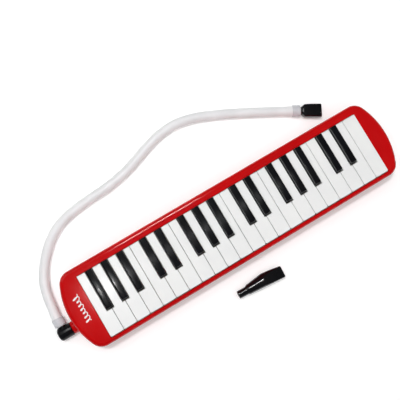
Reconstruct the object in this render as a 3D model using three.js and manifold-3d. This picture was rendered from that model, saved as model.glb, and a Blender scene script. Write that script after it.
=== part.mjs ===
// A 37-key melodica: a two-part case round a reed chamber, a keyboard of levers on one steel rod, a blowing
// hose on a swivelling elbow, and a short mouthpiece lying in front of it.
//
// Frame: millimetres, +Z up. The origin is the middle of the case's flat underside, +X runs along the
// keyboard to the high notes and +Y from the player to the back. Every joint is at rest.
import * as THREE from "three";
import { mergeVertices } from "three/addons/utils/BufferGeometryUtils.js";
import Module from "manifold-3d";

const wasm = await Module();
wasm.setup();

// Driving sizes.

// Keyboard
const whiteKeyPitch = 17.2;
const whiteKeyLength = 77.9;
const whiteKeyDepth = 8; // height of a white key's skirt
const keyGap = 0.7; // between two keys that stand side by side
const keyWall = 1.6;
const keyTopThickness = 2;
const frontCornerRound = 1.3;
const blackKeyWidth = 8.6;
const blackKeyTopWidth = 7.2;
const blackKeyLength = 50.2;
const blackKeyProud = 5.2; // above the white keys
const blackKeySlope = 1.8; // how far the front face leans back
const blackKeyEdge = 1; // chamfer along the top
const sharpShift = 1.15; // all black keys stand this far to the right of where even spacing puts them
const outerSharpSpread = 2.85; // F sharp and A sharp stand this far outwards of their gap
const pairSharpSpread = 1.45; // so do C sharp and D sharp

// Key action
const rodRadius = 2;
const rodClearance = 0.6;
const rodBeforeBack = 24.5; // from the rod to the keys' back ends
const lugWall = 1.8; // plastic below the rod hole
const spineWidth = 5;
const spineFrontDepth = 4.2;
const spineSlope = 5; // along Y, where the lever deepens in front of its lug
const lugSlope = 2;
const lugChamfer = 1.5;
const padThickness = 2.2;
const padLength = 12;
const skirtAboveRod = 4.8;
const postWidth = 3;
const postWallAboveRod = 1.3;
const feltThickness = 2.2;
const feltWidth = 5.4;
const frontStopFromEdge = 3; // white keys' felt, behind their front edge
const backStopFromEdge = 3; // black keys' felt, behind their front edge
const whiteKeyDrop = 4.9; // how far a white key's front edge can go down before it meets the felt
const blackKeyDrop = 3.2;

// Case
const leftEnd = 30; // from the keyboard to the end that is blown into
const rightEnd = 23.6;
const frontRail = 6.6;
const backRail = 11.5;
const keyFrontClearance = 1.4;
const keySideClearance = 0.6;
const keyBackClearance = 0.8;
const endRadius = 92;
const cornerRadius = 16;
const wall = 2.5;
const topThickness = 3;
const floorThickness = 2.5;
const topRound = 5;
const bottomRound = 2.4;
const whiteKeyProud = 2; // white keys stand this far above the case's top
const rimAboveBoard = 1.4;

// Reed chamber
const chamberHeight = 13.5;
const ledgeWidth = 4;
const gasketThickness = 1;
const boardThickness = 3;
const boardClearance = 0.6;
const reedPlateThickness = 1;
const reedPlateWidth = 30;
const reedPlateSpacing = 3; // between the two plates
const reedSlotWidth = 3;
const longestReed = 25;
const shortestReed = 11;
const palletHoleWidth = 4;
const palletHoleLength = 8;

// Blowing end
const socketRadius = 7.8;
const socketBore = 5.15;
const socketReach = 5.6; // out of the case's end
const socketDepth = 9; // into the chamber
const socketFromMiddle = -11;
const socketHeight = 10.4;
const elbowLength = 17.6;
const elbowRound = 3;
const elbowAirway = 2.6;
const spigotClearance = 0.35;
const spigotLength = 13;
const branchRadius = 5.6;
const branchReach = 0.7; // beyond the elbow's barrel
const branchOffset = 0.8; // from the barrel's middle, away from the case
const hoseRadius = 6;
const hoseLift = 0.2; // the hose lies this far above the surface, so that nothing presses on it
const cuffWall = 0.8;
const cuffClearance = 0.5;
const cuffLength = 10;

// Fasteners, drain and strap
const screwRadius = 1.5;
const screwHeadRadius = 3;
const screwHeadHeight = 2;
const screwLength = 23;
const screwClearance = 0.3;
const bossRadius = 4;
const screwBeforeCorner = 3; // along Y, from the corner arc's middle
const screwHeadSunk = 0.7;
const drainFromKeys = 4.6;
const drainY = -10;
const drainRadius = 4;
const drainClearance = 0.4;
const drainFlangeRadius = 6.5;
const drainFlangeHeight = 1.5;
const drainSealThickness = 1.2;
const drainSunk = 0.7;
const drainPinRadius = 2;
const drainPinHeight = 3;
const drainSpringRadius = 3.4;
const drainSpringWire = 0.45;
const drainSpringTurns = 4;
const strapLength = 114;
const strapWidth = 24;
const strapThickness = 1.8;
const strapFromMiddle = -75; // the strap is under the left hand
const strapEndMargin = 3;
const strapSideMargin = 8;
const strapSunk = 1.6;
const handHollowLength = 90; // the deep part of the recess, where fingers go over the strap
const handHollowWidth = 37;
const handHollowDepth = 9.6;
const bridgeWidth = 6;
const bridgeThickness = 1.2;
const bridgeFromEnd = 3;
const screwHeadTaper = 0.8; // the head's flat end as a share of its radius
const screwPointLength = 2;
const drainEdge = 0.6; // chamfer round the button's face

const fitGap = 0.3; // between two pieces that touch

// The scale.

const octave = ["c", "d", "e", "f", "g", "a", "b"];
const sharps = {
  c: sharpShift - pairSharpSpread,
  d: sharpShift + pairSharpSpread,
  f: sharpShift - outerSharpSpread,
  g: sharpShift,
  a: sharpShift + outerSharpSpread,
};
const whiteKeyCount = 22;
const lowestLetter = 3; // f
const lowestOctave = 3;

// Places worked out from the sizes.

const keyboardLength = whiteKeyCount * whiteKeyPitch;
const caseLength = leftEnd + keyboardLength + rightEnd;
const caseWidth = frontRail + whiteKeyLength + backRail;
const keyboardLeft = -caseLength / 2 + leftEnd;
const keyboardRight = keyboardLeft + keyboardLength;
const keyFront = -caseWidth / 2 + frontRail;
const keyBack = keyFront + whiteKeyLength;
const blackKeyFront = keyBack - blackKeyLength;
const rodY = keyBack - rodBeforeBack;

const ledgeTop = floorThickness + chamberHeight;
const gasketBottom = ledgeTop + fitGap;
const boardBottom = gasketBottom + gasketThickness + fitGap;
const boardTop = boardBottom + boardThickness;
const partingHeight = boardTop + rimAboveBoard;
const tailBottom = boardTop + padThickness;
const rodHoleRadius = rodRadius + rodClearance;
const rodZ = tailBottom + lugWall + rodHoleRadius;
const skirtBottom = rodZ + skirtAboveRod;
const keyTop = skirtBottom + whiteKeyDepth;
const caseTop = keyTop - whiteKeyProud;
const frontFeltTop = skirtBottom - whiteKeyDrop;
const backFeltTop = skirtBottom - blackKeyDrop;

const reedPlateBack = keyBack;
const padBack = keyBack - keyWall;
const palletHoleBack = padBack - (padLength - palletHoleLength) / 2;

const socketEndX = -caseLength / 2 - socketReach;
const elbowFaceX = socketEndX - fitGap;
const elbowEndX = elbowFaceX - elbowLength;
const hoseX = elbowFaceX - elbowLength / 2 - branchOffset;
const hoseStartY = socketFromMiddle + socketRadius + branchReach + fitGap;

// Solids from three.js geometry.

function solid(geometry) {
  const loose = geometry.index ? geometry.toNonIndexed() : geometry;
  const bare = new THREE.BufferGeometry().setAttribute("position", loose.getAttribute("position"));
  const merged = mergeVertices(bare, 1e-4);
  return new wasm.Manifold(
    new wasm.Mesh({
      numProp: 3,
      vertProperties: merged.attributes.position.array,
      triVerts: new Uint32Array(merged.index.array),
    }),
  );
}

function geometryOf(made) {
  const mesh = made.getMesh();
  const geometry = new THREE.BufferGeometry();
  geometry.setAttribute("position", new THREE.BufferAttribute(mesh.vertProperties, 3));
  geometry.setIndex(new THREE.BufferAttribute(mesh.triVerts, 1));
  const flat = geometry.toNonIndexed();
  flat.computeVertexNormals();
  return flat;
}

function box([x0, x1], [y0, y1], [z0, z1]) {
  const geometry = new THREE.BoxGeometry(x1 - x0, y1 - y0, z1 - z0);
  return solid(geometry.translate((x0 + x1) / 2, (y0 + y1) / 2, (z0 + z1) / 2));
}

function rodAlongX(radius, [x0, x1], y, z, sides = 16) {
  const geometry = new THREE.CylinderGeometry(radius, radius, x1 - x0, sides);
  return solid(geometry.rotateZ(-Math.PI / 2).translate((x0 + x1) / 2, y, z));
}

function rodAlongY(radius, x, [y0, y1], z, sides = 16) {
  const geometry = new THREE.CylinderGeometry(radius, radius, y1 - y0, sides);
  return solid(geometry.translate(x, (y0 + y1) / 2, z));
}

function rodAlongZ(radius, x, y, [z0, z1], sides = 16) {
  const geometry = new THREE.CylinderGeometry(radius, radius, z1 - z0, sides);
  return solid(geometry.rotateX(Math.PI / 2).translate(x, y, (z0 + z1) / 2));
}

// A shape in the XY plane, raised from z0 to z1.
function raise(shape, [z0, z1], curveSegments = 4) {
  const settings = { depth: z1 - z0, bevelEnabled: false, curveSegments };
  return solid(new THREE.ExtrudeGeometry(shape, settings).translate(0, 0, z0));
}

// A side profile of (y, z) points, made as wide as x0 to x1.
function acrossX(points, [x0, x1]) {
  const shape = new THREE.Shape(points.map(([y, z]) => new THREE.Vector2(y, z)));
  const geometry = new THREE.ExtrudeGeometry(shape, { depth: x1 - x0, bevelEnabled: false });
  const turn = new THREE.Matrix4().makeBasis(
    new THREE.Vector3(0, 1, 0),
    new THREE.Vector3(0, 0, 1),
    new THREE.Vector3(1, 0, 0),
  );
  return solid(geometry.applyMatrix4(turn).translate(x0, 0, 0));
}

// A front section of (x, z) points, made as long as y0 to y1.
function alongY(points, [y0, y1]) {
  const shape = new THREE.Shape(points.map(([x, z]) => new THREE.Vector2(x, z)));
  const geometry = new THREE.ExtrudeGeometry(shape, { depth: y1 - y0, bevelEnabled: false });
  return solid(geometry.rotateX(Math.PI / 2).translate(0, y1, 0));
}

// A profile of (radius, distance) points turned round the X axis, or round the Z axis.
function turned(profile, sides) {
  return new THREE.LatheGeometry(profile.map(([r, along]) => new THREE.Vector2(r, along)), sides);
}
const turnedAboutX = (profile, sides = 16) => solid(turned(profile, sides).rotateZ(-Math.PI / 2));
const turnedAboutZ = (profile, sides = 16) => solid(turned(profile, sides).rotateX(Math.PI / 2));

const join = (...pieces) => pieces.reduce((all, piece) => all.add(piece));
const cut = (made, ...tools) => tools.reduce((left, tool) => left.subtract(tool), made);

// Materials.

const plastic = (color, roughness) => new THREE.MeshStandardMaterial({ color, roughness, metalness: 0 });
const metal = (color, roughness) => new THREE.MeshStandardMaterial({ color, roughness, metalness: 1 });
const redPlastic = plastic(0xc8141a, 0.28);
const whitePlastic = plastic(0xf2f1ee, 0.25);
const blackPlastic = plastic(0x0b0b0d, 0.2);
const creamPlastic = plastic(0xd9d2bd, 0.45);
const hosePlastic = plastic(0xeceaea, 0.4);
const cuffPlastic = plastic(0xc9c9c9, 0.45);
const felt = plastic(0x8a1f24, 0.95);
const rubber = plastic(0x1c1c1c, 0.8);
const vinyl = plastic(0x161616, 0.6);
const brass = metal(0xb9974f, 0.35);
const steel = metal(0xb4b6ba, 0.3);

const melodica = new THREE.Group();

function place(name, made, material, parent = melodica) {
  const mesh = new THREE.Mesh(made.isBufferGeometry ? made : geometryOf(made), material);
  mesh.name = name;
  parent.add(mesh);
  return mesh;
}

// Case.

// The case in plan: straight front and back, a wide arc at each end and a small arc at each corner, all
// tangent. An inset takes the same distance off every side.
function caseOutline(inset) {
  const halfLength = caseLength / 2;
  const halfWidth = caseWidth / 2;
  const endX = halfLength - endRadius;
  const cornerY = halfWidth - cornerRadius;
  const cornerX = endX + Math.sqrt((endRadius - cornerRadius) ** 2 - cornerY ** 2);
  const lean = Math.atan2(cornerY, cornerX - endX);
  const quarter = Math.PI / 2;
  const small = cornerRadius - inset;
  const large = endRadius - inset;
  return new THREE.Shape()
    .absarc(cornerX, -cornerY, small, -quarter, -lean)
    .absarc(endX, 0, large, -lean, lean)
    .absarc(cornerX, cornerY, small, lean, quarter)
    .absarc(-cornerX, cornerY, small, quarter, Math.PI - lean)
    .absarc(-endX, 0, large, Math.PI - lean, Math.PI + lean)
    .absarc(-cornerX, -cornerY, small, Math.PI + lean, Math.PI + quarter)
    .closePath();
}

// A slab of the case's outline whose far edge, above or below, is rounded.
function roundedSlab([z0, z1], round, roundTop) {
  const spare = 2 * round;
  const settings = {
    depth: z1 - z0 + spare - 2 * round,
    bevelThickness: round,
    bevelSize: round,
    bevelOffset: -round,
    bevelSegments: 3,
    curveSegments: 4,
  };
  const start = roundTop ? z0 - spare + round : z0 + round;
  const slab = solid(new THREE.ExtrudeGeometry(caseOutline(0), settings).translate(0, 0, start));
  const far = caseLength;
  const waste = roundTop ? [z0 - 2 * spare, z0] : [z1, z1 + 2 * spare];
  return cut(slab, box([-far, far], [-far, far], waste));
}

// The screws stand just inside the gasket, beside the middles of the corner arcs.
const screwFromEdge = wall + ledgeWidth + bossRadius + 2 * fitGap;
const screwY = caseWidth / 2 - cornerRadius - screwBeforeCorner;
const screwX = caseLength / 2 - endRadius + Math.sqrt((endRadius - screwFromEdge) ** 2 - screwY ** 2);
const cornerScrews = [
  [-screwX, -screwY],
  [screwX, -screwY],
  [-screwX, screwY],
  [screwX, screwY],
];
const screwHeadTop = screwHeadSunk + screwHeadHeight;
const screwTip = screwHeadTop + screwLength;
const screwHoleRadius = screwRadius + screwClearance;
const drainX = keyboardRight + drainFromKeys;
const drainHoleRadius = drainRadius + drainClearance;

function upperCase() {
  const bottom = partingHeight + fitGap;
  const ceiling = caseTop - topThickness;
  const shell = cut(
    roundedSlab([bottom, caseTop], topRound, true),
    raise(caseOutline(wall), [bottom - 1, ceiling]),
    box(
      [keyboardLeft - keySideClearance, keyboardRight + keySideClearance],
      [keyFront - keyFrontClearance, keyBack + keyBackClearance],
      [bottom, caseTop + 1],
    ),
  );
  const bosses = cornerScrews.map(([x, y]) =>
    cut(
      rodAlongZ(bossRadius, x, y, [boardTop + fitGap, ceiling + 1], 12),
      rodAlongZ(screwHoleRadius, x, y, [boardTop, screwTip + 1], 10),
    ),
  );
  return join(shell, ...bosses);
}

const strapRecessX = [
  strapFromMiddle - strapLength / 2 - strapEndMargin,
  strapFromMiddle + strapLength / 2 + strapEndMargin,
];
const strapRecessY = [-strapWidth / 2 - strapSideMargin, strapWidth / 2 + strapSideMargin];
const strapRecessDepth = strapSunk + strapThickness + 2 * fitGap;
const handHollowX = [strapFromMiddle - handHollowLength / 2, strapFromMiddle + handHollowLength / 2];
const handHollowY = [-handHollowWidth / 2, handHollowWidth / 2];

function lowerCase() {
  const grow = ([low, high], by) => [low - by, high + by];
  const shell = cut(
    roundedSlab([0, partingHeight], bottomRound, false),
    raise(caseOutline(wall), [ledgeTop, partingHeight + 1]),
    raise(caseOutline(wall + ledgeWidth), [floorThickness, ledgeTop + 1]),
  );
  const strapPan = join(
    box(grow(strapRecessX, wall), grow(strapRecessY, wall), [1, strapRecessDepth + floorThickness]),
    box(grow(handHollowX, wall), grow(handHollowY, wall), [1, handHollowDepth + floorThickness]),
  );
  const bosses = cornerScrews.map(([x, y]) => rodAlongZ(bossRadius, x, y, [1, boardBottom - fitGap], 12));
  const socketInside = -caseLength / 2 + socketDepth;
  const socketOutside = -caseLength / 2 + wall;
  const socket = join(
    rodAlongX(socketRadius, [socketEndX, socketOutside], socketFromMiddle, socketHeight, 20),
    box(
      [socketOutside - 1, socketInside],
      [socketFromMiddle - socketRadius, socketFromMiddle + socketRadius],
      [1, ledgeTop],
    ),
  );
  const bridgeXs = [
    strapRecessX[0] + strapEndMargin + bridgeFromEnd,
    strapRecessX[1] - strapEndMargin - bridgeFromEnd - bridgeWidth,
  ];
  const bridges = bridgeXs.map((x) => box([x, x + bridgeWidth], grow(strapRecessY, 1), [0, bridgeThickness]));
  const holes = cornerScrews.flatMap(([x, y]) => [
    rodAlongZ(screwHoleRadius, x, y, [-1, boardBottom], 10),
    rodAlongZ(screwHeadRadius + screwClearance, x, y, [-1, screwHeadTop + screwClearance], 12),
  ]);
  const hollowed = cut(
    join(shell, strapPan, socket, ...bosses),
    box(strapRecessX, strapRecessY, [-1, strapRecessDepth]),
    box(handHollowX, handHollowY, [-1, handHollowDepth]),
    rodAlongX(socketBore, [socketEndX - 1, socketInside + 1], socketFromMiddle, socketHeight, 16),
    rodAlongZ(drainHoleRadius, drainX, drainY, [-1, floorThickness + 1], 12),
    ...holes,
  );
  return join(hollowed, ...bridges);
}

// Keyboard.

// Every key with its name, its span at the rod and, for a white key, its notches.
function keysOfTheScale() {
  const keys = [];
  const halfNotch = blackKeyWidth / 2 + keyGap;
  for (let i = 0; i < whiteKeyCount; i += 1) {
    const step = lowestLetter + i;
    const letter = octave[step % 7];
    const before = octave[(step + 6) % 7];
    const number = lowestOctave + Math.floor(step / 7);
    const left = keyboardLeft + i * whiteKeyPitch;
    const right = left + whiteKeyPitch;
    const sharpLeft = i > 0 && before in sharps;
    const sharpRight = i < whiteKeyCount - 1 && letter in sharps;
    const front = [left + keyGap / 2, right - keyGap / 2];
    const tail = [
      sharpLeft ? left + sharps[before] + halfNotch : front[0],
      sharpRight ? right + sharps[letter] - halfNotch : front[1],
    ];
    keys.push({ name: `key_${letter}${number}`, white: true, front, tail });
    if (sharpRight) {
      const middle = right + sharps[letter];
      const span = [middle - blackKeyWidth / 2, middle + blackKeyWidth / 2];
      keys.push({ name: `key_${letter}${number}_sharp`, white: false, front: span, tail: span });
    }
  }
  return keys;
}

const middleOf = ([low, high]) => (low + high) / 2;
const spineSpan = (key) => [middleOf(key.tail) - spineWidth / 2, middleOf(key.tail) + spineWidth / 2];

// The lever under a key: thin in front, deep at the rod, and level at the tail, where the pad is.
function spine(key, front) {
  const top = keyTop - keyTopThickness / 2;
  const slim = keyTop - keyTopThickness - spineFrontDepth;
  const lugFront = rodY - rodHoleRadius - lugWall;
  const profile = [
    [front, slim],
    [lugFront - spineSlope, skirtBottom],
    [lugFront, tailBottom + lugChamfer],
    [lugFront + lugSlope, tailBottom],
    [padBack, tailBottom],
    [padBack, top],
    [front, top],
  ];
  return acrossX(profile, spineSpan(key));
}

const rodHole = (key) => rodAlongX(rodHoleRadius, [key.tail[0] - 1, key.tail[1] + 1], rodY, rodZ, 8);

// A white key in plan, notched beside its black keys; an inset gives the hollow underneath.
function whiteKeyPlan(key, inset) {
  const notchY = blackKeyFront - keyGap - inset;
  const round = Math.max(frontCornerRound - inset, 0.1);
  const [left, right] = [key.front[0] + inset, key.front[1] - inset];
  const [tailLeft, tailRight] = [key.tail[0] + inset, key.tail[1] - inset];
  const front = keyFront + inset;
  const shape = new THREE.Shape();
  shape.absarc(left + round, front + round, round, Math.PI, 1.5 * Math.PI);
  shape.absarc(right - round, front + round, round, 1.5 * Math.PI, 2 * Math.PI);
  if (key.tail[1] < key.front[1]) shape.lineTo(right, notchY).lineTo(tailRight, notchY);
  shape.lineTo(tailRight, keyBack - inset).lineTo(tailLeft, keyBack - inset);
  if (key.tail[0] > key.front[0]) shape.lineTo(tailLeft, notchY).lineTo(left, notchY);
  return shape.closePath();
}

function whiteKey(key) {
  const cover = cut(
    raise(whiteKeyPlan(key, 0), [skirtBottom, keyTop], 1),
    raise(whiteKeyPlan(key, keyWall), [skirtBottom - 1, keyTop - keyTopThickness], 1),
  );
  return cut(join(cover, spine(key, keyFront + keyWall / 2)), rodHole(key));
}

function blackKey(key) {
  const middle = middleOf(key.front);
  const top = keyTop + blackKeyProud;
  const side = [
    [blackKeyFront, skirtBottom],
    [blackKeyFront + blackKeySlope, top - blackKeyEdge],
    [blackKeyFront + blackKeySlope + blackKeyEdge, top],
    [keyBack, top],
    [keyBack, skirtBottom],
  ];
  const section = [
    [middle - blackKeyWidth / 2, skirtBottom],
    [middle + blackKeyWidth / 2, skirtBottom],
    [middle + blackKeyWidth / 2, keyTop - blackKeyEdge],
    [middle + blackKeyTopWidth / 2, top],
    [middle - blackKeyTopWidth / 2, top],
    [middle - blackKeyWidth / 2, keyTop - blackKeyEdge],
  ];
  const block = acrossX(side, key.front).intersect(alongY(section, [blackKeyFront - 1, keyBack + 1]));
  const hollow = box(
    [key.front[0] + keyWall, key.front[1] - keyWall],
    [blackKeyFront + blackKeySlope + keyWall, keyBack - keyWall],
    [skirtBottom - 1, top - keyTopThickness - keyWall],
  );
  const front = blackKeyFront + blackKeySlope + keyWall / 2;
  return cut(join(cut(block, hollow), spine(key, front)), rodHole(key));
}

// Reed chamber and key bed.

const keys = keysOfTheScale();
const postMargin = 1.5;
const rodEnds = [
  keyboardLeft - postMargin - postWidth,
  keyboardRight + postMargin + postWidth,
];

// The rod is held at both ends and wherever two white keys meet with no black key between them.
function postPlaces() {
  const places = [rodEnds[0] + postWidth / 2, rodEnds[1] - postWidth / 2];
  for (let i = 1; i < keys.length; i += 1) {
    if (keys[i - 1].white && keys[i].white) {
      places.push((spineSpan(keys[i - 1])[1] + spineSpan(keys[i])[0]) / 2);
    }
  }
  return places;
}

const feltEndGap = 1;
const feltSpan = [keyboardLeft + feltEndGap, keyboardRight - feltEndGap];
const frontFeltY = [keyFront + frontStopFromEdge, keyFront + frontStopFromEdge + feltWidth];
const backFeltY = [blackKeyFront + backStopFromEdge, blackKeyFront + backStopFromEdge + feltWidth];
const postHalfLength = rodHoleRadius + lugWall;
const reedPlateFront = reedPlateBack - reedPlateWidth;

function valveBoard() {
  const plate = raise(caseOutline(wall + boardClearance), [boardBottom, boardTop]);
  const stop = (span, feltTop) => box(feltSpan, span, [boardTop - 1, feltTop - feltThickness - fitGap]);
  const posts = postPlaces().map((x) =>
    box(
      [x - postWidth / 2, x + postWidth / 2],
      [rodY - postHalfLength, rodY + postHalfLength],
      [boardTop - 1, rodZ + rodHoleRadius + postWallAboveRod],
    ),
  );
  const palletHoles = keys.map((key) => {
    const x = middleOf(key.tail);
    return box(
      [x - palletHoleWidth / 2, x + palletHoleWidth / 2],
      [palletHoleBack - palletHoleLength, palletHoleBack],
      [boardBottom - 1, boardTop + 1],
    );
  });
  const screwHoles = cornerScrews.map(([x, y]) =>
    rodAlongZ(screwHoleRadius, x, y, [boardBottom - 1, boardTop + 1], 10),
  );
  return cut(
    join(plate, stop(frontFeltY, frontFeltTop), stop(backFeltY, backFeltTop), ...posts),
    rodAlongX(rodHoleRadius, [rodEnds[0] - 1, rodEnds[1] + 1], rodY, rodZ, 12),
    ...palletHoles,
    ...screwHoles,
  );
}

// A brass plate with a slot under each of its keys, long for the low notes and short for the high ones.
function reedPlate(first, last) {
  const own = keys.slice(first, last + 1);
  const top = boardBottom - fitGap;
  const span = [own[0].tail[0], own[own.length - 1].tail[1]];
  if (first > 0) span[0] = middleOf(own[0].tail) - spineWidth / 2;
  if (last < keys.length - 1) {
    span[1] = middleOf(keys[last + 1].tail) - spineWidth / 2 - reedPlateSpacing;
  }
  const plate = box(span, [reedPlateFront, reedPlateBack], [top - reedPlateThickness, top]);
  const slots = own.map((key, i) => {
    const share = (first + i) / (keys.length - 1);
    const length = longestReed + (shortestReed - longestReed) * share;
    const x = middleOf(key.tail);
    return box(
      [x - reedSlotWidth / 2, x + reedSlotWidth / 2],
      [palletHoleBack - length, palletHoleBack],
      [top - reedPlateThickness - 1, top + 1],
    );
  });
  return cut(plate, ...slots);
}

function chamberGasket() {
  const inside = raise(caseOutline(wall + ledgeWidth), [gasketBottom - 1, boardBottom]);
  return cut(raise(caseOutline(wall + boardClearance), [gasketBottom, boardBottom - fitGap]), inside);
}

const feltStrip = (span, top) => box(feltSpan, span, [top - feltThickness, top]);

// Screws, drain and strap.

function caseScrew() {
  return turnedAboutZ(
    [
      [0, screwHeadSunk],
      [screwHeadRadius * screwHeadTaper, screwHeadSunk],
      [screwHeadRadius, screwHeadTop],
      [screwRadius, screwHeadTop],
      [screwRadius, screwTip - screwPointLength],
      [0, screwTip],
    ],
    10,
  );
}

const drainFlangeBottom = floorThickness + 2 * fitGap + drainSealThickness;
const drainFlangeTop = drainFlangeBottom + drainFlangeHeight;

function drainButton() {
  return turnedAboutZ([
    [0, drainSunk],
    [drainRadius - drainEdge, drainSunk],
    [drainRadius, drainSunk + drainEdge],
    [drainRadius, drainFlangeBottom],
    [drainFlangeRadius, drainFlangeBottom],
    [drainFlangeRadius, drainFlangeTop],
    [drainPinRadius, drainFlangeTop],
    [drainPinRadius, drainFlangeTop + drainPinHeight],
    [0, drainFlangeTop + drainPinHeight],
  ]);
}

function drainSeal() {
  const bottom = floorThickness + fitGap;
  const top = bottom + drainSealThickness;
  const inner = drainRadius + fitGap;
  const outer = drainFlangeRadius - fitGap;
  return turnedAboutZ([
    [inner, bottom],
    [outer, bottom],
    [outer, top],
    [inner, top],
    [inner, bottom],
  ]);
}

class Helix extends THREE.Curve {
  constructor(radius, z0, z1, turns) {
    super();
    Object.assign(this, { radius, z0, z1, turns });
  }

  getPoint(t, target = new THREE.Vector3()) {
    const angle = 2 * Math.PI * this.turns * t;
    const z = this.z0 + (this.z1 - this.z0) * t;
    return target.set(this.radius * Math.cos(angle), this.radius * Math.sin(angle), z);
  }
}

// A round bar along a curve.
function barAlong(curve, radius, sides, steps) {
  const section = new THREE.Shape(
    Array.from({ length: sides }, (_, i) => {
      const angle = (2 * Math.PI * i) / sides;
      return new THREE.Vector2(radius * Math.cos(angle), radius * Math.sin(angle));
    }),
  );
  return solid(new THREE.ExtrudeGeometry(section, { steps, extrudePath: curve }));
}

function drainSpring() {
  const low = drainFlangeTop + drainSpringWire + fitGap;
  const high = boardBottom - drainSpringWire - fitGap;
  const coil = new Helix(drainSpringRadius, low, high, drainSpringTurns);
  return barAlong(coil, drainSpringWire, 5, drainSpringTurns * 9);
}

function handStrap() {
  const low = strapSunk;
  return box(
    [strapFromMiddle - strapLength / 2, strapFromMiddle + strapLength / 2],
    [-strapWidth / 2, strapWidth / 2],
    [low, low + strapThickness],
  );
}

// Blowing hose.

// A barrel that turns in the socket, with a branch at right angles for the hose and an airway round the
// corner. It is drawn with the socket's axis along X.
function elbow() {
  const barrel = turnedAboutX(
    [
      [0, elbowEndX],
      [socketRadius - elbowRound, elbowEndX],
      [socketRadius - elbowRound * 0.3, elbowEndX + elbowRound * 0.3],
      [socketRadius, elbowEndX + elbowRound],
      [socketRadius, elbowFaceX],
      [socketBore - spigotClearance, elbowFaceX],
      [socketBore - spigotClearance, elbowFaceX + spigotLength],
      [0, elbowFaceX + spigotLength],
    ],
    18,
  );
  const branch = rodAlongY(branchRadius, hoseX, [0, socketRadius + branchReach], 0, 16);
  const made = cut(
    join(barrel, branch),
    rodAlongX(elbowAirway, [hoseX - elbowAirway, elbowFaceX + spigotLength + 1], 0, 0, 10),
    rodAlongY(elbowAirway, hoseX, [0, socketRadius + branchReach + 1], 0, 10),
  );
  return made.translate([0, socketFromMiddle, socketHeight]);
}

// The hose's middle line: out of the elbow, down to the surface, and along it in two long bends.
const lying = hoseRadius + hoseLift;
const lyingAtTip = hoseRadius + cuffClearance + cuffWall + hoseLift; // the far cuff holds the hose's end up
const hoseRoute = [
  [hoseX, hoseStartY, socketHeight],
  [hoseX, 8, socketHeight],
  [-230.2, 21, socketHeight - 0.6],
  [-228.4, 36, (socketHeight + lying) / 2],
  [-224.8, 50, lying + 0.8],
  [-217.8, 64, lying],
  [-208.5, 76.5, lying],
  [-197, 88.2, lying],
  [-184, 97.6, lying],
  [-170, 104, lying],
  [-154.5, 107.8, lying],
  [-137.3, 110, lying],
  [-119.2, 111.4, lying],
  [-100.4, 113.2, lying],
  [-82, 116.6, lying],
  [-63.4, 122, lying],
  [-44.4, 129, lying],
  [-25.5, 135, lying],
  [-6.9, 138.2, lying],
  [11.6, 137.8, lying],
  [30.4, 133.4, lying],
  [51.2, 125.2, lying],
  [73.6, 114.8, lying],
  [96.2, 103.4, lying],
  [119, 91.4, (lying + lyingAtTip) / 2],
  [147.9, 75.7, lyingAtTip],
];

const hoseCurve = new THREE.CatmullRomCurve3(hoseRoute.map((point) => new THREE.Vector3(...point)));
const hose = () => barAlong(hoseCurve, hoseRadius, 10, 32);

// A cuff shrunk round the hose's end. It is drawn along +X from its outer end.
function hoseCuff() {
  const inner = hoseRadius + cuffClearance;
  const outer = inner + cuffWall;
  return turnedAboutX(
    [
      [inner, 0],
      [outer, 0],
      [outer, cuffLength],
      [inner, cuffLength],
      [inner, 0],
    ],
    14,
  );
}

// Mouthpieces.

const hoseTipNeck = 5;
const hoseTipLength = 26;
const hoseTipWidth = 16.4;
const hoseTipHeight = 11.6;
const lipHeight = 8;
const lipSlotWidth = 9.5;
const lipSlotHeight = 3.4;
const hoseTipShoulder = 5; // from the neck to the full width
const hoseTipAirway = 2;

// The mouthpiece at the hose's far end: a short neck, then a flat block for the lips. It is drawn along
// +X from the hose's end.
function hoseTip() {
  const halfWidth = hoseTipWidth / 2;
  const shoulder = hoseTipShoulder;
  const plan = new THREE.Shape(
    [
      [0, -hoseTipNeck],
      [shoulder, -halfWidth],
      [hoseTipLength, -halfWidth],
      [hoseTipLength, halfWidth],
      [shoulder, halfWidth],
      [0, hoseTipNeck],
    ].map(([x, y]) => new THREE.Vector2(x, y)),
  );
  const side = [
    [0, -hoseTipNeck],
    [shoulder, -hoseTipHeight / 2],
    [hoseTipLength, -lipHeight / 2],
    [hoseTipLength, lipHeight / 2],
    [shoulder, hoseTipHeight / 2],
    [0, hoseTipNeck],
  ].map(([x, z]) => new THREE.Vector2(x, z));
  const sideShape = new THREE.ExtrudeGeometry(new THREE.Shape(side), {
    depth: hoseTipWidth + 2,
    bevelEnabled: false,
  });
  const sideBlock = solid(sideShape.rotateX(Math.PI / 2).translate(0, hoseTipWidth / 2 + 1, 0));
  const airway = box(
    [shoulder, hoseTipLength + 1],
    [-lipSlotWidth / 2, lipSlotWidth / 2],
    [-lipSlotHeight / 2, lipSlotHeight / 2],
  );
  const block = raise(plan, [-hoseTipHeight, hoseTipHeight]).intersect(sideBlock);
  return cut(block, airway, rodAlongX(hoseTipAirway, [-1, shoulder + 1], 0, 0, 10));
}

const pieceLength = 61;
const plugLength = 13;
const plugRadius = socketBore - spigotClearance;
const pieceAirway = 2.6;
const pieceWidest = 8.2;
const pieceLip = 7.1;
const pieceLipHeight = 7;
const pieceSlotHeight = 3.2;
const pieceSlotDepth = 12;
const pieceShoulder = 1.3; // the body starts this much wider than the plug
const pieceMiddle = [-4.6, -79.8];
const pieceTurn = -0.05; // radians, as it was laid down

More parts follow.
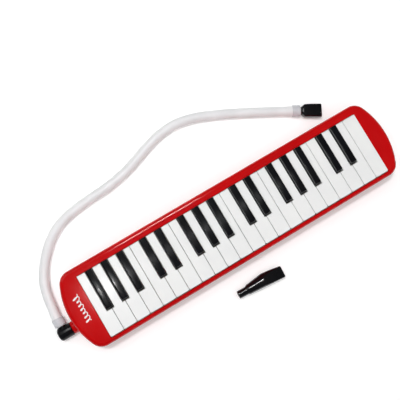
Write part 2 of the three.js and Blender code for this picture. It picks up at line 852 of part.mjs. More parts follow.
// The short mouthpiece that goes into the socket in place of the hose: a round plug, a shoulder, and a
// body that is flattened towards the lips. It is drawn along X with its middle at the origin.
function shortMouthpiece() {
  const start = -pieceLength / 2;
  const end = pieceLength / 2;
  const bodyStart = start + plugLength;
  const body = turnedAboutX(
    [
      [0, start],
      [plugRadius, start],
      [plugRadius, bodyStart - 1],
      [plugRadius + pieceShoulder, bodyStart],
      [pieceWidest - 1, bodyStart + 14],
      [pieceWidest, bodyStart + 24],
      [pieceWidest, bodyStart + 32],
      [pieceLip, end],
      [0, end],
    ],
    18,
  );
  const flat = [
    [start - 1, -pieceWidest],
    [bodyStart + 20, -pieceWidest],
    [end + 1, -pieceLipHeight / 2],
    [end + 1, pieceLipHeight / 2],
    [bodyStart + 20, pieceWidest],
    [start - 1, pieceWidest],
  ].map(([x, z]) => new THREE.Vector2(x, z));
  const wedgeShape = new THREE.ExtrudeGeometry(new THREE.Shape(flat), {
    depth: 3 * pieceWidest,
    bevelEnabled: false,
  });
  const wedge = solid(wedgeShape.rotateX(Math.PI / 2).translate(0, 1.5 * pieceWidest, 0));
  const slot = box(
    [end - pieceSlotDepth, end + 1],
    [-lipSlotWidth / 2, lipSlotWidth / 2],
    [-pieceSlotHeight / 2, pieceSlotHeight / 2],
  );
  const airway = rodAlongX(pieceAirway, [start - 1, end - pieceSlotDepth + 1], 0, 0, 10);
  return cut(body.intersect(wedge), airway, slot);
}

// Assembly.

place("upper_case", upperCase(), redPlastic);
place("lower_case", lowerCase(), redPlastic);
place("valve_board", valveBoard(), creamPlastic);
place("chamber_gasket", chamberGasket(), rubber);
const lowKeys = 18;
place("reed_plate_low", reedPlate(0, lowKeys - 1), brass);
place("reed_plate_high", reedPlate(lowKeys, keys.length - 1), brass);
place("key_rod", rodAlongX(rodRadius, rodEnds, rodY, rodZ, 12), steel);
place("white_key_felt", feltStrip(frontFeltY, frontFeltTop), felt);
place("black_key_felt", feltStrip(backFeltY, backFeltTop), felt);
place("hand_strap", handStrap(), vinyl);

for (const key of keys) {
  place(key.name, key.white ? whiteKey(key) : blackKey(key), key.white ? whitePlastic : blackPlastic);
}

cornerScrews.forEach(([x, y], i) => {
  place(`case_screw_${i + 1}`, caseScrew(), steel).position.set(x, y, 0);
});

const drain = new THREE.Group();
drain.position.set(drainX, drainY, 0);
melodica.add(drain);
place("drain_button", drainButton(), blackPlastic, drain);
place("drain_seal", drainSeal(), rubber, drain);
place("drain_spring", drainSpring(), steel, drain);

place("elbow", elbow(), blackPlastic);
place("hose", hose(), hosePlastic);
const hoseEnd = hoseRoute[hoseRoute.length - 1];
const beforeEnd = hoseRoute[hoseRoute.length - 2];
const tipTurn = Math.atan2(hoseEnd[1] - beforeEnd[1], hoseEnd[0] - beforeEnd[0]);
const nearCuff = place("hose_cuff_near", hoseCuff(), cuffPlastic);
nearCuff.position.set(hoseX, hoseStartY + fitGap, socketHeight);
nearCuff.rotation.z = Math.PI / 2;
const farCuff = place("hose_cuff_far", hoseCuff(), cuffPlastic);
farCuff.position.set(hoseEnd[0], hoseEnd[1], lyingAtTip);
farCuff.rotation.z = tipTurn + Math.PI;
const tip = place("hose_mouthpiece", hoseTip(), blackPlastic);
tip.position.set(
  hoseEnd[0] + fitGap * 2 * Math.cos(tipTurn),
  hoseEnd[1] + fitGap * 2 * Math.sin(tipTurn),
  lyingAtTip,
);
tip.rotation.z = tipTurn;

const piece = place("short_mouthpiece", shortMouthpiece(), blackPlastic);
piece.position.set(...pieceMiddle, pieceWidest);
piece.rotation.z = pieceTurn;

export default melodica;
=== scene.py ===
import bmesh
import bpy
import numpy as np
from mathutils import Matrix, Vector


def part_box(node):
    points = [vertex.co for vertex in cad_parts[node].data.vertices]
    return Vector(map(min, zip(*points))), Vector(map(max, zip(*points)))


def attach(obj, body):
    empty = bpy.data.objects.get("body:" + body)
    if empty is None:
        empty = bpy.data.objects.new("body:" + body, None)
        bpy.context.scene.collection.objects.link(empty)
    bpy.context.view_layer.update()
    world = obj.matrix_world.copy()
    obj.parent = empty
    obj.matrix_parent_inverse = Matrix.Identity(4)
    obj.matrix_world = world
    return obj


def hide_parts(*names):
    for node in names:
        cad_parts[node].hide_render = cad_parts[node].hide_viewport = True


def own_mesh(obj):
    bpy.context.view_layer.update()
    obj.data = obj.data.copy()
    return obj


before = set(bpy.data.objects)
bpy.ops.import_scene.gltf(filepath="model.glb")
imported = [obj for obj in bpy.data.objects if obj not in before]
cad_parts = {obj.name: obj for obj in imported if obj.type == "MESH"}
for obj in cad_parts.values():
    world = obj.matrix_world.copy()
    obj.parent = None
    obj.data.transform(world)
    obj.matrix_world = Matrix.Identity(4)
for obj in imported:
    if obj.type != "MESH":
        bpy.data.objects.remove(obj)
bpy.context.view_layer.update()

softCrease = 38  # degrees: edges sharper than this stay crisp


def spanOf(node, axis):
    # A node's two ends along X, Y or Z, which are 0, 1 and 2.
    low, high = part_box(node)
    return low[axis], high[axis]


def middleOf(node):
    low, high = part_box(node)
    return (low + high) / 2


def grown(span, by):
    return span[0] - by, span[1] + by


def cornersOf(x, y):
    return [(x[0], y[0]), (x[1], y[0]), (x[1], y[1]), (x[0], y[1])]


def filletedRing(corners, radii, inset=0.0, arcSteps=5, edgeSteps=0):
    # Moves each side of an anticlockwise outline inwards by the inset and puts a tangent arc in each corner.
    # An outward corner's radius shrinks by the inset and a notch's grows by it, so nested rings stay
    # parallel, and two arcs that would overlap on a short side are made smaller together.
    corners = np.asarray(corners, float)
    side = np.roll(corners, -1, axis=0) - corners
    side /= np.linalg.norm(side, axis=1, keepdims=True)
    before = np.roll(side, 1, axis=0)
    inward = np.stack([-side[:, 1], side[:, 0]], axis=1)
    inwardBefore = np.roll(inward, 1, axis=0)
    alike = (side * before).sum(axis=1)
    turn = np.arctan2(before[:, 0] * side[:, 1] - before[:, 1] * side[:, 0], alike)
    moved = corners + inset * (inward + inwardBefore) / (1 + alike)[:, None]
    bend = np.sign(turn)
    radius = np.maximum(np.asarray(radii) - bend * inset, 1e-5)
    reach = radius * np.tan(np.abs(turn) / 2)
    length = np.linalg.norm(np.roll(moved, -1, axis=0) - moved, axis=1)
    fit = np.minimum(1, 0.999 * length / (reach + np.roll(reach, -1)))
    fit = np.minimum(fit, np.roll(fit, 1))
    radius, reach = radius * fit, reach * fit
    spoke = -inwardBefore * (bend * radius)[:, None]
    centre = moved - before * reach[:, None] - spoke
    angle = turn[:, None] * np.linspace(0, 1, arcSteps + 1)
    x = centre[:, :1] + spoke[:, :1] * np.cos(angle) - spoke[:, 1:] * np.sin(angle)
    y = centre[:, 1:] + spoke[:, :1] * np.sin(angle) + spoke[:, 1:] * np.cos(angle)
    arcs = np.stack([x, y], axis=-1)
    if edgeSteps:
        start, end = arcs[:, -1:], np.roll(arcs[:, :1], -1, axis=0)
        share = (np.arange(1, edgeSteps + 1) / (edgeSteps + 1))[None, :, None]
        arcs = np.concatenate([arcs, start + (end - start) * share], axis=1)
    return arcs.reshape(-1, 2)


def atHeight(ring, z):
    # The (x, y) points of a ring at the height z, which may be one number or one for each point.
    return np.column_stack([ring, np.broadcast_to(z, len(ring))])


def quarterTurn(radius, steps):
    # (inset, drop) pairs of a rounded edge, from the side up to the top: inset is r(1 - cos a) and drop is
    # r(1 - sin a), with a from 0 to 90 degrees.
    angle = np.linspace(0, np.pi / 2, steps + 1)
    return np.column_stack([radius * (1 - np.cos(angle)), radius * (1 - np.sin(angle))])


def loft(rings, firstCap=True, lastCap=True, closed=False):
    # Four-sided faces between points j and j + 1 of ring i and the same two of ring i + 1. A cap is one face
    # over an end ring, and closed joins the last ring to the first.
    rings = np.asarray(rings, float)
    levels, around = rings.shape[:2]
    level = np.arange(levels if closed else levels - 1)[:, None]
    step = np.arange(around)[None]
    beside, above = (step + 1) % around, (level + 1) % levels
    quads = [level * around + step, level * around + beside, above * around + beside, above * around + step]
    faces = np.stack(quads, axis=-1).reshape(-1, 4).tolist()
    if firstCap and not closed:
        faces.append(list(range(around))[::-1])
    if lastCap and not closed:
        faces.append(list(range((levels - 1) * around, levels * around)))
    return rings.reshape(-1, 3), faces


def softSlab(corners, corner, bottom, top, edge, edgeSteps, arcSteps=5):
    # An outline with round corners, raised from bottom to top, with its lower and upper edges rounded.
    turn = quarterTurn(edge, edgeSteps)
    levels = [(inset, bottom + drop) for inset, drop in turn[::-1]]
    levels += [(inset, top - drop) for inset, drop in turn]
    return loft([atHeight(filletedRing(corners, [corner] * 4, inset, arcSteps), z) for inset, z in levels])


def turnedRings(profile, centre, axis="z", sides=32):
    # Each (along, radius) pair of the profile is a circle about the axis: centre + along + r (cos a, sin a).
    turn = {"x": [1, 2, 0], "y": [2, 0, 1], "z": [0, 1, 2]}[axis]
    along, radius = np.asarray(profile, float).T[:, :, None]
    angle = np.linspace(0, 2 * np.pi, sides, endpoint=False)[None]
    own = np.stack([radius * np.cos(angle), radius * np.sin(angle), along + 0 * angle], axis=-1)
    rings = np.empty_like(own)
    rings[..., turn] = own
    return rings + np.asarray(centre, float)


def tubeRings(path, radii, sides=32):
    # Circles square to a path: side is up x tangent, rise is tangent x side, and a point is
    # path + r (side cos a + rise sin a).
    path = np.asarray(path, float)
    tangent = np.gradient(path, axis=0)
    tangent /= np.linalg.norm(tangent, axis=1, keepdims=True)
    side = np.cross([0, 0, 1], tangent)
    side /= np.linalg.norm(side, axis=1, keepdims=True)
    rise = np.cross(tangent, side)
    angle = np.linspace(0, 2 * np.pi, sides, endpoint=False)[None, :, None]
    radii = np.broadcast_to(radii, len(path))[:, None, None]
    return path[:, None] + radii * (side[:, None] * np.cos(angle) + rise[:, None] * np.sin(angle))


def meshOf(name, points, faces):
    mesh = bpy.data.meshes.new(name)
    mesh.from_pydata(points, [], faces)
    return mesh


def addToScene(name, content):
    thing = bpy.data.objects.new(name, content)
    bpy.context.scene.collection.objects.link(thing)
    return thing


def makePiece(name, parts, material, body, stands=(), crease=softCrease, merge=False):
    # parts are (points, faces) pairs. They share one mesh, shaded smooth up to the crease angle in degrees.
    points, faces, start = [], [], 0
    for partPoints, partFaces in parts:
        points.append(partPoints)
        faces += [[index + start for index in face] for face in partFaces]
        start += len(partPoints)
    mesh = meshOf(name, np.concatenate(points).tolist(), faces)
    if merge:
        welded = bmesh.new()
        welded.from_mesh(mesh)
        bmesh.ops.remove_doubles(welded, verts=welded.verts, dist=2e-6)
        welded.to_mesh(mesh)
        welded.free()
    mesh.shade_smooth()
    mesh.set_sharp_from_angle(angle=np.radians(crease))
    mesh.materials.append(material)
    piece = addToScene(name, mesh)
    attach(piece, body)
    if stands:
        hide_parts(*stands)
    return piece


def startMaterial(name, roughness, metallic=0.0):
    material = bpy.data.materials.new(name)
    material.use_nodes = True
    tree = material.node_tree
    shader = tree.nodes["Principled BSDF"]
    shader.inputs["Roughness"].default_value = roughness
    shader.inputs["Metallic"].default_value = metallic
    where = tree.nodes.new("ShaderNodeTexCoord").outputs["Object"]
    return material, tree, shader, where


def stretched(tree, where, scale):
    mapping = tree.nodes.new("ShaderNodeMapping")
    mapping.inputs["Scale"].default_value = scale
    tree.links.new(where, mapping.inputs["Vector"])
    return mapping.outputs["Vector"]


def noiseOver(tree, where, scale, detail=3.0, rough=0.5):
    noise = tree.nodes.new("ShaderNodeTexNoise")
    noise.inputs["Scale"].default_value = scale
    noise.inputs["Detail"].default_value = detail
    noise.inputs["Roughness"].default_value = rough
    tree.links.new(where, noise.inputs["Vector"])
    return noise.outputs["Fac"]


def tint(tree, shader, factor, dark, light, stops=(0.35, 0.65)):
    # The colour goes from dark to light while the factor climbs between the stops.
    ramp = tree.nodes.new("ShaderNodeValToRGB")
    ramp.color_ramp.elements[0].position, ramp.color_ramp.elements[1].position = stops
    ramp.color_ramp.elements[0].color = (*dark, 1)
    ramp.color_ramp.elements[1].color = (*light, 1)
    tree.links.new(factor, ramp.inputs["Fac"])
    tree.links.new(ramp.outputs["Color"], shader.inputs["Base Color"])


def varyRoughness(tree, shader, factor, low, high):
    # The roughness goes from low to high over the middle of the factor's range.
    spread = tree.nodes.new("ShaderNodeMapRange")
    spread.inputs["From Min"].default_value = 0.3
    spread.inputs["From Max"].default_value = 0.7
    spread.inputs["To Min"].default_value = low
    spread.inputs["To Max"].default_value = high
    tree.links.new(factor, spread.inputs["Value"])
    tree.links.new(spread.outputs["Result"], shader.inputs["Roughness"])


def raiseGrain(tree, shader, height, strength, depth):
    # A bump in the shading, its depth in metres.
    bump = tree.nodes.new("ShaderNodeBump")
    bump.inputs["Strength"].default_value = strength
    bump.inputs["Distance"].default_value = depth
    tree.links.new(height, bump.inputs["Height"])
    tree.links.new(bump.outputs["Normal"], shader.inputs["Normal"])


def mouldedPlastic(name, look):
    # Slow clouds of colour, handling smudges in the gloss, and the faint ripple of a moulded skin.
    material, tree, shader, where = startMaterial(name, look["gloss"][0])
    tint(tree, shader, noiseOver(tree, where, look["clouds"]), look["dark"], look["light"])
    varyRoughness(tree, shader, noiseOver(tree, where, 70, 5, 0.6), *look["gloss"])
    raiseGrain(tree, shader, noiseOver(tree, where, look["grain"], 4), look["ripple"], 0.0001)
    shader.inputs["Specular IOR Level"].default_value = look.get("shine", 0.5)
    shader.inputs["Subsurface Weight"].default_value = look.get("glow", 0.0)
    shader.inputs["Subsurface Radius"].default_value = (1, 1, 1)
    shader.inputs["Subsurface Scale"].default_value = 0.0015
    return material


def rolledMetal(name, dark, light, gloss, streaks):
    # Rolling or drawing marks: one noise stretched along the metal colours it and cuts fine lines in it.
    material, tree, shader, where = startMaterial(name, gloss[0], 1.0)
    marks = noiseOver(tree, stretched(tree, where, streaks), 1.0, 6, 0.65)
    tint(tree, shader, marks, dark, light)
    varyRoughness(tree, shader, marks, *gloss)
    raiseGrain(tree, shader, marks, 0.25, 0.00005)
    return material


def pressedFelt(name, dark, light):
    # Fine tangled fibres over slower patches of colour, with a soft sheen.
    material, tree, shader, where = startMaterial(name, 0.95)
    fibres = noiseOver(tree, where, 2600, 6, 0.7)
    tint(tree, shader, noiseOver(tree, where, 420, 4), dark, light)
    raiseGrain(tree, shader, fibres, 0.9, 0.0003)
    shader.inputs["Sheen Weight"].default_value = 0.5
    shader.inputs["Sheen Roughness"].default_value = 0.6
    return material


def wovenBand(name, dark, light, thread):
    # Warp and weft: two sine bands at right angles, multiplied, give the thread crowns.
    material, tree, shader, where = startMaterial(name, 0.75)
    waves = []
    for direction in ("X", "Y"):
        wave = tree.nodes.new("ShaderNodeTexWave")
        wave.bands_direction = direction
        wave.inputs["Scale"].default_value = 0.314 / thread  # one wave is 0.314 / scale long
        wave.inputs["Distortion"].default_value = 0.4
        tree.links.new(where, wave.inputs["Vector"])
        waves.append(wave.outputs["Fac"])
    crowns = tree.nodes.new("ShaderNodeMath")
    crowns.operation = "MULTIPLY"
    tree.links.new(waves[0], crowns.inputs[0])
    tree.links.new(waves[1], crowns.inputs[1])
    tint(tree, shader, crowns.outputs["Value"], dark, light, (0.1, 0.8))
    raiseGrain(tree, shader, crowns.outputs["Value"], 0.8, 0.0002)
    shader.inputs["Sheen Weight"].default_value = 0.2
    return material


plasticLooks = {
    "redCase": {"dark": (0.47, 0.001, 0.002), "light": (0.55, 0.002, 0.003), "gloss": (0.07, 0.11),
                "clouds": 14, "grain": 900, "ripple": 0.03, "shine": 0.35},
    "whiteKey": {"dark": (0.84, 0.84, 0.84), "light": (0.88, 0.88, 0.87), "gloss": (0.16, 0.26),
                 "clouds": 25, "grain": 700, "ripple": 0.03},
    "blackKey": {"dark": (0.002, 0.002, 0.003), "light": (0.004, 0.004, 0.006), "gloss": (0.1, 0.16),
                 "clouds": 40, "grain": 500, "ripple": 0.03},
    "blackFitting": {"dark": (0.003, 0.003, 0.004), "light": (0.005, 0.005, 0.006), "gloss": (0.1, 0.18),
                     "clouds": 60, "grain": 1100, "ripple": 0.05},
    "blackElbow": {"dark": (0.003, 0.003, 0.004), "light": (0.005, 0.005, 0.006), "gloss": (0.26, 0.34),
                   "clouds": 60, "grain": 1500, "ripple": 0.15, "shine": 0.25},
    "creamBoard": {"dark": (0.6, 0.54, 0.41), "light": (0.68, 0.62, 0.5), "gloss": (0.4, 0.55),
                   "clouds": 20, "grain": 1400, "ripple": 0.2},
    "milkyHose": {"dark": (0.79, 0.79, 0.8), "light": (0.85, 0.85, 0.86), "gloss": (0.28, 0.4),
                  "clouds": 45, "grain": 600, "ripple": 0.08, "glow": 0.5},
    "greyCuff": {"dark": (0.56, 0.56, 0.59), "light": (0.64, 0.64, 0.67), "gloss": (0.35, 0.45),
                 "clouds": 60, "grain": 900, "ripple": 0.1, "glow": 0.1},
    "whitePrint": {"dark": (0.84, 0.83, 0.83), "light": (0.9, 0.9, 0.9), "gloss": (0.4, 0.5),
                   "clouds": 300, "grain": 2500, "ripple": 0.15},
    "softRubber": {"dark": (0.012, 0.012, 0.012), "light": (0.022, 0.022, 0.021), "gloss": (0.7, 0.85),
                   "clouds": 90, "grain": 1800, "ripple": 0.4},
}
finish = {name: mouldedPlastic(name, look) for name, look in plasticLooks.items()}
finish["brass"] = rolledMetal("brass", (0.5, 0.33, 0.11), (0.7, 0.5, 0.2), (0.25, 0.45), (60, 2500, 60))
finish["steel"] = rolledMetal("steel", (0.42, 0.43, 0.45), (0.6, 0.61, 0.63), (0.2, 0.4), (40, 2200, 2200))
finish["redFelt"] = pressedFelt("redFelt", (0.2, 0.012, 0.02), (0.34, 0.03, 0.04))
finish["padFelt"] = pressedFelt("padFelt", (0.5, 0.42, 0.3), (0.62, 0.54, 0.4))
finish["strapWeave"] = wovenBand("strapWeave", (0.006, 0.006, 0.007), (0.035, 0.035, 0.038), 0.0009)
finish["thread"] = pressedFelt("stitchThread", (0.06, 0.06, 0.065), (0.12, 0.12, 0.125))
print("materials:", len(finish))

cameraSetting = {
    "position": (-0.11115, -0.0064, 0.829),
    "tilt": -6.32,
    "lean": 3.93,
    "turn": 30.76,
    "lens": 61.7,
    "sensor": 36,
}


def makeCamera(setting):
    # The view turns the world by turn about Z, then lean about Y, then tilt about X, in degrees, and the
    # camera has the inverse of that.
    turn = Matrix.Rotation(np.radians(setting["turn"]), 3, "Z")
    lean = Matrix.Rotation(np.radians(setting["lean"]), 3, "Y")
    tilt = Matrix.Rotation(np.radians(setting["tilt"]), 3, "X")
    lens = bpy.data.cameras.new("viewCamera")
    lens.lens = setting["lens"]
    lens.sensor_width = setting["sensor"]
    camera = addToScene("viewCamera", lens)
    camera.matrix_world = Matrix.Translation(setting["position"]) @ (tilt @ lean @ turn).transposed().to_4x4()
    bpy.context.scene.camera = camera


makeCamera(cameraSetting)

# The heights are those of the hose's middle line, and its route is a given list.
hose = {
    "radius": 0.006,
    "wall": 0.0012,
    "elbowHeight": 0.0104,
    "lying": 0.0062,
    "lyingAtTip": 0.0075,
    "stepsPerBend": 10,
    "sides": 40,
}
hoseX = middleOf("hose_cuff_near").x
hoseRoute = [
    (hoseX, -0.0022, hose["elbowHeight"]),
    (hoseX, 0.008, hose["elbowHeight"]),
    (-0.2302, 0.021, hose["elbowHeight"] - 0.0006),
    (-0.2284, 0.036, (hose["elbowHeight"] + hose["lying"]) / 2),
    (-0.2248, 0.05, hose["lying"] + 0.0008),
    (-0.2178, 0.064, hose["lying"]),
    (-0.2085, 0.0765, hose["lying"]),
    (-0.197, 0.0882, hose["lying"]),
    (-0.184, 0.0976, hose["lying"]),
    (-0.17, 0.104, hose["lying"]),
    (-0.1545, 0.1078, hose["lying"]),
    (-0.1373, 0.11, hose["lying"]),
    (-0.1192, 0.1114, hose["lying"]),
    (-0.1004, 0.1132, hose["lying"]),
    (-0.082, 0.1166, hose["lying"]),
    (-0.0634, 0.122, hose["lying"]),
    (-0.0444, 0.129, hose["lying"]),
    (-0.0255, 0.135, hose["lying"]),
    (-0.0069, 0.1382, hose["lying"]),
    (0.0116, 0.1378, hose["lying"]),
    (0.0304, 0.1334, hose["lying"]),
    (0.0512, 0.1252, hose["lying"]),
    (0.0736, 0.1148, hose["lying"]),
    (0.0962, 0.1034, hose["lying"]),
    (0.119, 0.0914, (hose["lying"] + hose["lyingAtTip"]) / 2),
    (0.1479, 0.0757, hose["lyingAtTip"]),
]


def smoothPath(route, steps):
    # A centripetal spline through the points: on each stretch a cubic whose end slopes come from the square
    # roots of the distances to the neighbouring points.
    route = np.asarray(route, float)
    points = np.concatenate([[2 * route[0] - route[1]], route, [2 * route[-1] - route[-2]]])
    a, b, c, d = points[:-3], points[1:-2], points[2:-1], points[3:]
    gaps = ((a, b), (b, c), (c, d))
    first, middle, last = (np.linalg.norm(q - p, axis=1, keepdims=True) ** 0.5 for p, q in gaps)
    leave = middle * ((b - a) / first - (c - a) / (first + middle) + (c - b) / middle)
    arrive = middle * ((c - b) / middle - (d - b) / (middle + last) + (d - c) / last)
    t = np.linspace(0, 1, steps, endpoint=False)[None, :, None]
    b, c, leave, arrive = (x[:, None] for x in (b, c, leave, arrive))
    curve = (
        (2 * t**3 - 3 * t**2 + 1) * b
        + (t**3 - 2 * t**2 + t) * leave
        + (3 * t**2 - 2 * t**3) * c
        + (t**3 - t**2) * arrive
    )
    return np.concatenate([curve.reshape(-1, 3), route[-1:]])


def lengthsAlong(line):
    return np.concatenate([[0], np.cumsum(np.linalg.norm(np.diff(line, axis=0), axis=1))])


def pointsAlong(line, distances):
    measured = lengthsAlong(line)
    return np.stack([np.interp(distances, measured, line[:, k]) for k in range(3)], axis=1)


hoseLine = smoothPath(hoseRoute, hose["stepsPerBend"])
hoseLength = float(lengthsAlong(hoseLine)[-1])


def makeHose(line):
    # A pipe wall: circles along the outside, then back along the bore, closed into one skin.
    bore = tubeRings(line, hose["radius"] - hose["wall"], hose["sides"])[::-1]
    outside = tubeRings(line, hose["radius"], hose["sides"])
    wall = loft(np.concatenate([outside, bore]), closed=True)
    return makePiece("hoseTube", [wall], finish["milkyHose"], "blowing_hose", ["hose"])


cuff = {
    "length": 0.0096,
    "inner": 0.00605,
    "outer": 0.0069,
    "rib": 0.00035,
    "ribs": 5,
    "ridge": 0.7,  # below 1 the ribs are full, with narrow grooves
    "edge": 0.0004,
    "edgeShare": 0.05,
    "fromEnd": 0.0004,
    "stepsPerRib": 8,
    "sides": 48,
}


def makeCuff(name, node, start):
    # Ribs round the cuff: its radius is outer + rib |sin a|^ridge, with half a turn of a for each rib, and it
    # is less by edge at both ends.
    along = np.linspace(0, cuff["length"], cuff["ribs"] * cuff["stepsPerRib"] + 1)
    share = along / cuff["length"]
    path = pointsAlong(hoseLine, start + along)
    ribs = cuff["outer"] + cuff["rib"] * np.abs(np.sin(np.pi * cuff["ribs"] * share)) ** cuff["ridge"]
    fade = np.clip(np.minimum(share, 1 - share) / cuff["edgeShare"], 0, 1)
    outside = tubeRings(path, ribs - cuff["edge"] * (1 - fade), cuff["sides"])
    inside = tubeRings(path, cuff["inner"], cuff["sides"])[::-1]
    wall = loft(np.concatenate([outside, inside]), closed=True)
    return makePiece(name, [wall], finish["greyCuff"], "blowing_hose", [node], crease=60)


def sectionRings(stations, levels, sides, blur):
    # Sections of a flattening body: its half-width W, half-height H, squareness n and sideways bulge b are
    # averaged over a short stretch of the straight lines between the stations, and a point is
    # (W |cos a|^(2/n) + b cos^2 a, H |sin a|^(2/n)) with the signs of the cosine and the sine kept.
    stations = np.asarray(stations, float)
    along = np.linspace(stations[0, 0], stations[-1, 0], levels)
    reach = np.linspace(-1, 1, 9)[:, None] * blur * (along[-1] - along[0])
    near = np.minimum(along - along[0], along[-1] - along) / (along[-1] - along[0])
    spots = along + reach * np.clip(near / 0.1, 0, 1)
    blended = [np.interp(spots, stations[:, 0], stations[:, k]).mean(axis=0) for k in (1, 2, 3, 4)]
    return np.stack([sectionRing(*values[:4], sides, values[4]) for values in zip(along, *blended)])


def sectionRing(along, width, height, square, sides, bulge=0.0):
    angle = np.linspace(0, 2 * np.pi, sides, endpoint=False)
    x = width * np.sign(np.cos(angle)) * np.abs(np.cos(angle)) ** (2 / square)
    z = height * np.sign(np.sin(angle)) * np.abs(np.sin(angle)) ** (2 / square)
    return np.column_stack([np.full(sides, along), x + bulge * np.cos(angle) ** 2, z])


blown = {"edge": 0.0004, "rim": 0.0006, "lip": 0.0008, "slotSquareness": 6}


def blownBody(stations, bore, slot, levels=70, sides=64, blur=0.06):
    # From the bottom of the bore, out over its rim, along the body and back in through the slot for the lips.
    # A station is (along, half-width, half-height, squareness, sideways bulge).
    start, end = stations[0], stations[-1]
    edge, rim, lip, square = blown["edge"], blown["rim"], blown["lip"], blown["slotSquareness"]
    mouth = [
        (start[0] + bore["depth"], bore["radius"]),
        (start[0] + edge, bore["radius"]),
        (start[0], bore["radius"] + edge),
        (start[0], start[1] - rim),
        (start[0] + rim / 3, start[1] - rim / 6),
    ]
    mouthRings = [sectionRing(along, radius, radius, 2, sides) for along, radius in mouth]
    trimmed = [(start[0] + rim, *start[1:])] + stations[1:-1] + [(end[0] - lip, *end[1:])]
    body = sectionRings(trimmed, levels, sides, blur)
    halfWidth, halfHeight = slot["width"] / 2, slot["height"] / 2
    lips = [
        (end[0] - 0.0003, end[1] - 0.0002, end[2] - 0.0003, end[3]),
        (end[0], end[1] - lip, end[2] - lip - 0.0001, end[3]),
        (end[0], halfWidth + edge, halfHeight + edge, square),
        (end[0] - edge, halfWidth, halfHeight, square),
        (end[0] - slot["depth"], halfWidth, halfHeight, square),
    ]
    lipRings = [sectionRing(*values, sides) for values in lips]
    return np.concatenate([mouthRings, body, lipRings])


def laidDown(rings, spot, turn):
    # Turns rings drawn along X by the angle turn about Z and moves them to spot.
    cosine, sine = np.cos(turn), np.sin(turn)
    flat = rings @ np.array([[cosine, sine, 0], [-sine, cosine, 0], [0, 0, 1]])
    return flat + np.asarray(spot, float)


hoseTip = {
    "stations": [
        (0.0, 0.0051, 0.0051, 2.0, 0.0),
        (0.0016, 0.0056, 0.0052, 2.2, 0.0),
        (0.0042, 0.008, 0.0057, 4.5, 0.0),
        (0.012, 0.0082, 0.0056, 6.0, 0.0),
        (0.026, 0.0082, 0.0041, 7.0, 0.0),
    ],
    "bore": {"radius": 0.002, "depth": 0.005},
    "slot": {"width": 0.0095, "height": 0.0034, "depth": 0.012},
    "gap": 0.0006,
}


def makeHoseTip():
    # The hose's own mouthpiece, in line with the last stretch of the route.
    end, before = np.array(hoseRoute[-1]), np.array(hoseRoute[-2])
    turn = np.arctan2(*(end - before)[[1, 0]])
    spot = end + hoseTip["gap"] * np.array([np.cos(turn), np.sin(turn), 0])
    body = blownBody(hoseTip["stations"], hoseTip["bore"], hoseTip["slot"])
    return makePiece("hoseMouthpiece", [loft(laidDown(body, spot, turn))], finish["blackFitting"],
                     "blowing_hose", ["hose_mouthpiece"])


elbow = {
    "round": 0.004,
    "flatness": 0.8,
    "spigot": 0.0048,
    "spigotLength": 0.013,
    "airway": 0.0026,
    "branch": 0.0056,
    "branchDepth": 0.006,
    "grips": 18,
    "gripDepth": 0.00018,
    "gripped": slice(3, 12),  # the rings of the barrel that the grips dent
    "sides": 72,
}


def makeElbow():
    # A turned barrel with a rounded outer end and shallow grips, its spigot, and the branch that the hose
    # sits on.
    low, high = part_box("elbow")
    radius = (high.z - low.z) / 2
    centre = (0, low.y + radius, (low.z + high.z) / 2)
    face = high.x - elbow["spigotLength"]
    bend, spigot, airway = elbow["round"], elbow["spigot"], elbow["airway"]
    dome = [(low.x + bend * (1 - np.cos(a)) * elbow["flatness"], radius - bend * (1 - np.sin(a)))
            for a in np.linspace(0.0, np.pi / 2, 9)]
    barrel = [(low.x, 0.0004)] + dome + [(face - 0.0006, radius), (face - 0.0002, radius - 0.0002)]
    barrel += [(face, radius - 0.0006), (face, spigot + 0.0002), (face + 0.0003, spigot)]
    barrel += [(high.x - 0.0008, spigot), (high.x, spigot - 0.0006), (high.x, airway), (face, airway)]
    rings = turnedRings(barrel, centre, "x", elbow["sides"])
    angle = np.linspace(0, 2 * np.pi, elbow["sides"], endpoint=False)
    dent = elbow["gripDepth"] * (0.5 + 0.5 * np.cos(elbow["grips"] * angle))
    grips = rings[elbow["gripped"]]
    outward = grips - np.array([0, centre[1], centre[2]])
    outward[..., 0] = 0
    outward /= np.linalg.norm(outward, axis=-1, keepdims=True)
    rings[elbow["gripped"]] = grips - outward * dent[None, :, None]
    stub = elbow["branch"]
    branch = [(centre[1], stub), (high.y - 0.0003, stub), (high.y, stub - 0.0003), (high.y, airway)]
    branch += [(high.y - elbow["branchDepth"], airway)]
    tube = loft(turnedRings(branch, (hoseX, 0, centre[2]), "y", 40))
    return makePiece("elbowBody", [loft(rings), tube], finish["blackElbow"], "blowing_hose",
                     ["elbow"])


tube = makeHose(hoseLine)
nearCuff = makeCuff("hoseCuffNear", "hose_cuff_near", cuff["fromEnd"])
farCuff = makeCuff("hoseCuffFar", "hose_cuff_far", hoseLength - cuff["fromEnd"] - cuff["length"])
tip = makeHoseTip()
makeElbow()
print("hose:", round(hoseLength, 3), "m")

spare = {
    "middle": (-0.0046, -0.0798, 0.0082),
    "turn": -0.05,
    "stations": [
        (-0.0305, 0.0048, 0.0048, 2.0, 0.0),
        (-0.0186, 0.0049, 0.0049, 2.0, 0.0),
        (-0.0174, 0.006, 0.0057, 2.0, 0.0003),
        (-0.003, 0.0074, 0.0073, 2.1, 0.0011),
        (0.005, 0.0083, 0.0082, 2.2, 0.0017),
        (0.0155, 0.0081, 0.0062, 3.2, 0.0012),
        (0.0305, 0.0073, 0.0035, 5.0, 0.0),
    ],
    "bore": {"radius": 0.0026, "depth": 0.02},
    "slot": {"width": 0.0095, "height": 0.0032, "depth": 0.011},
}


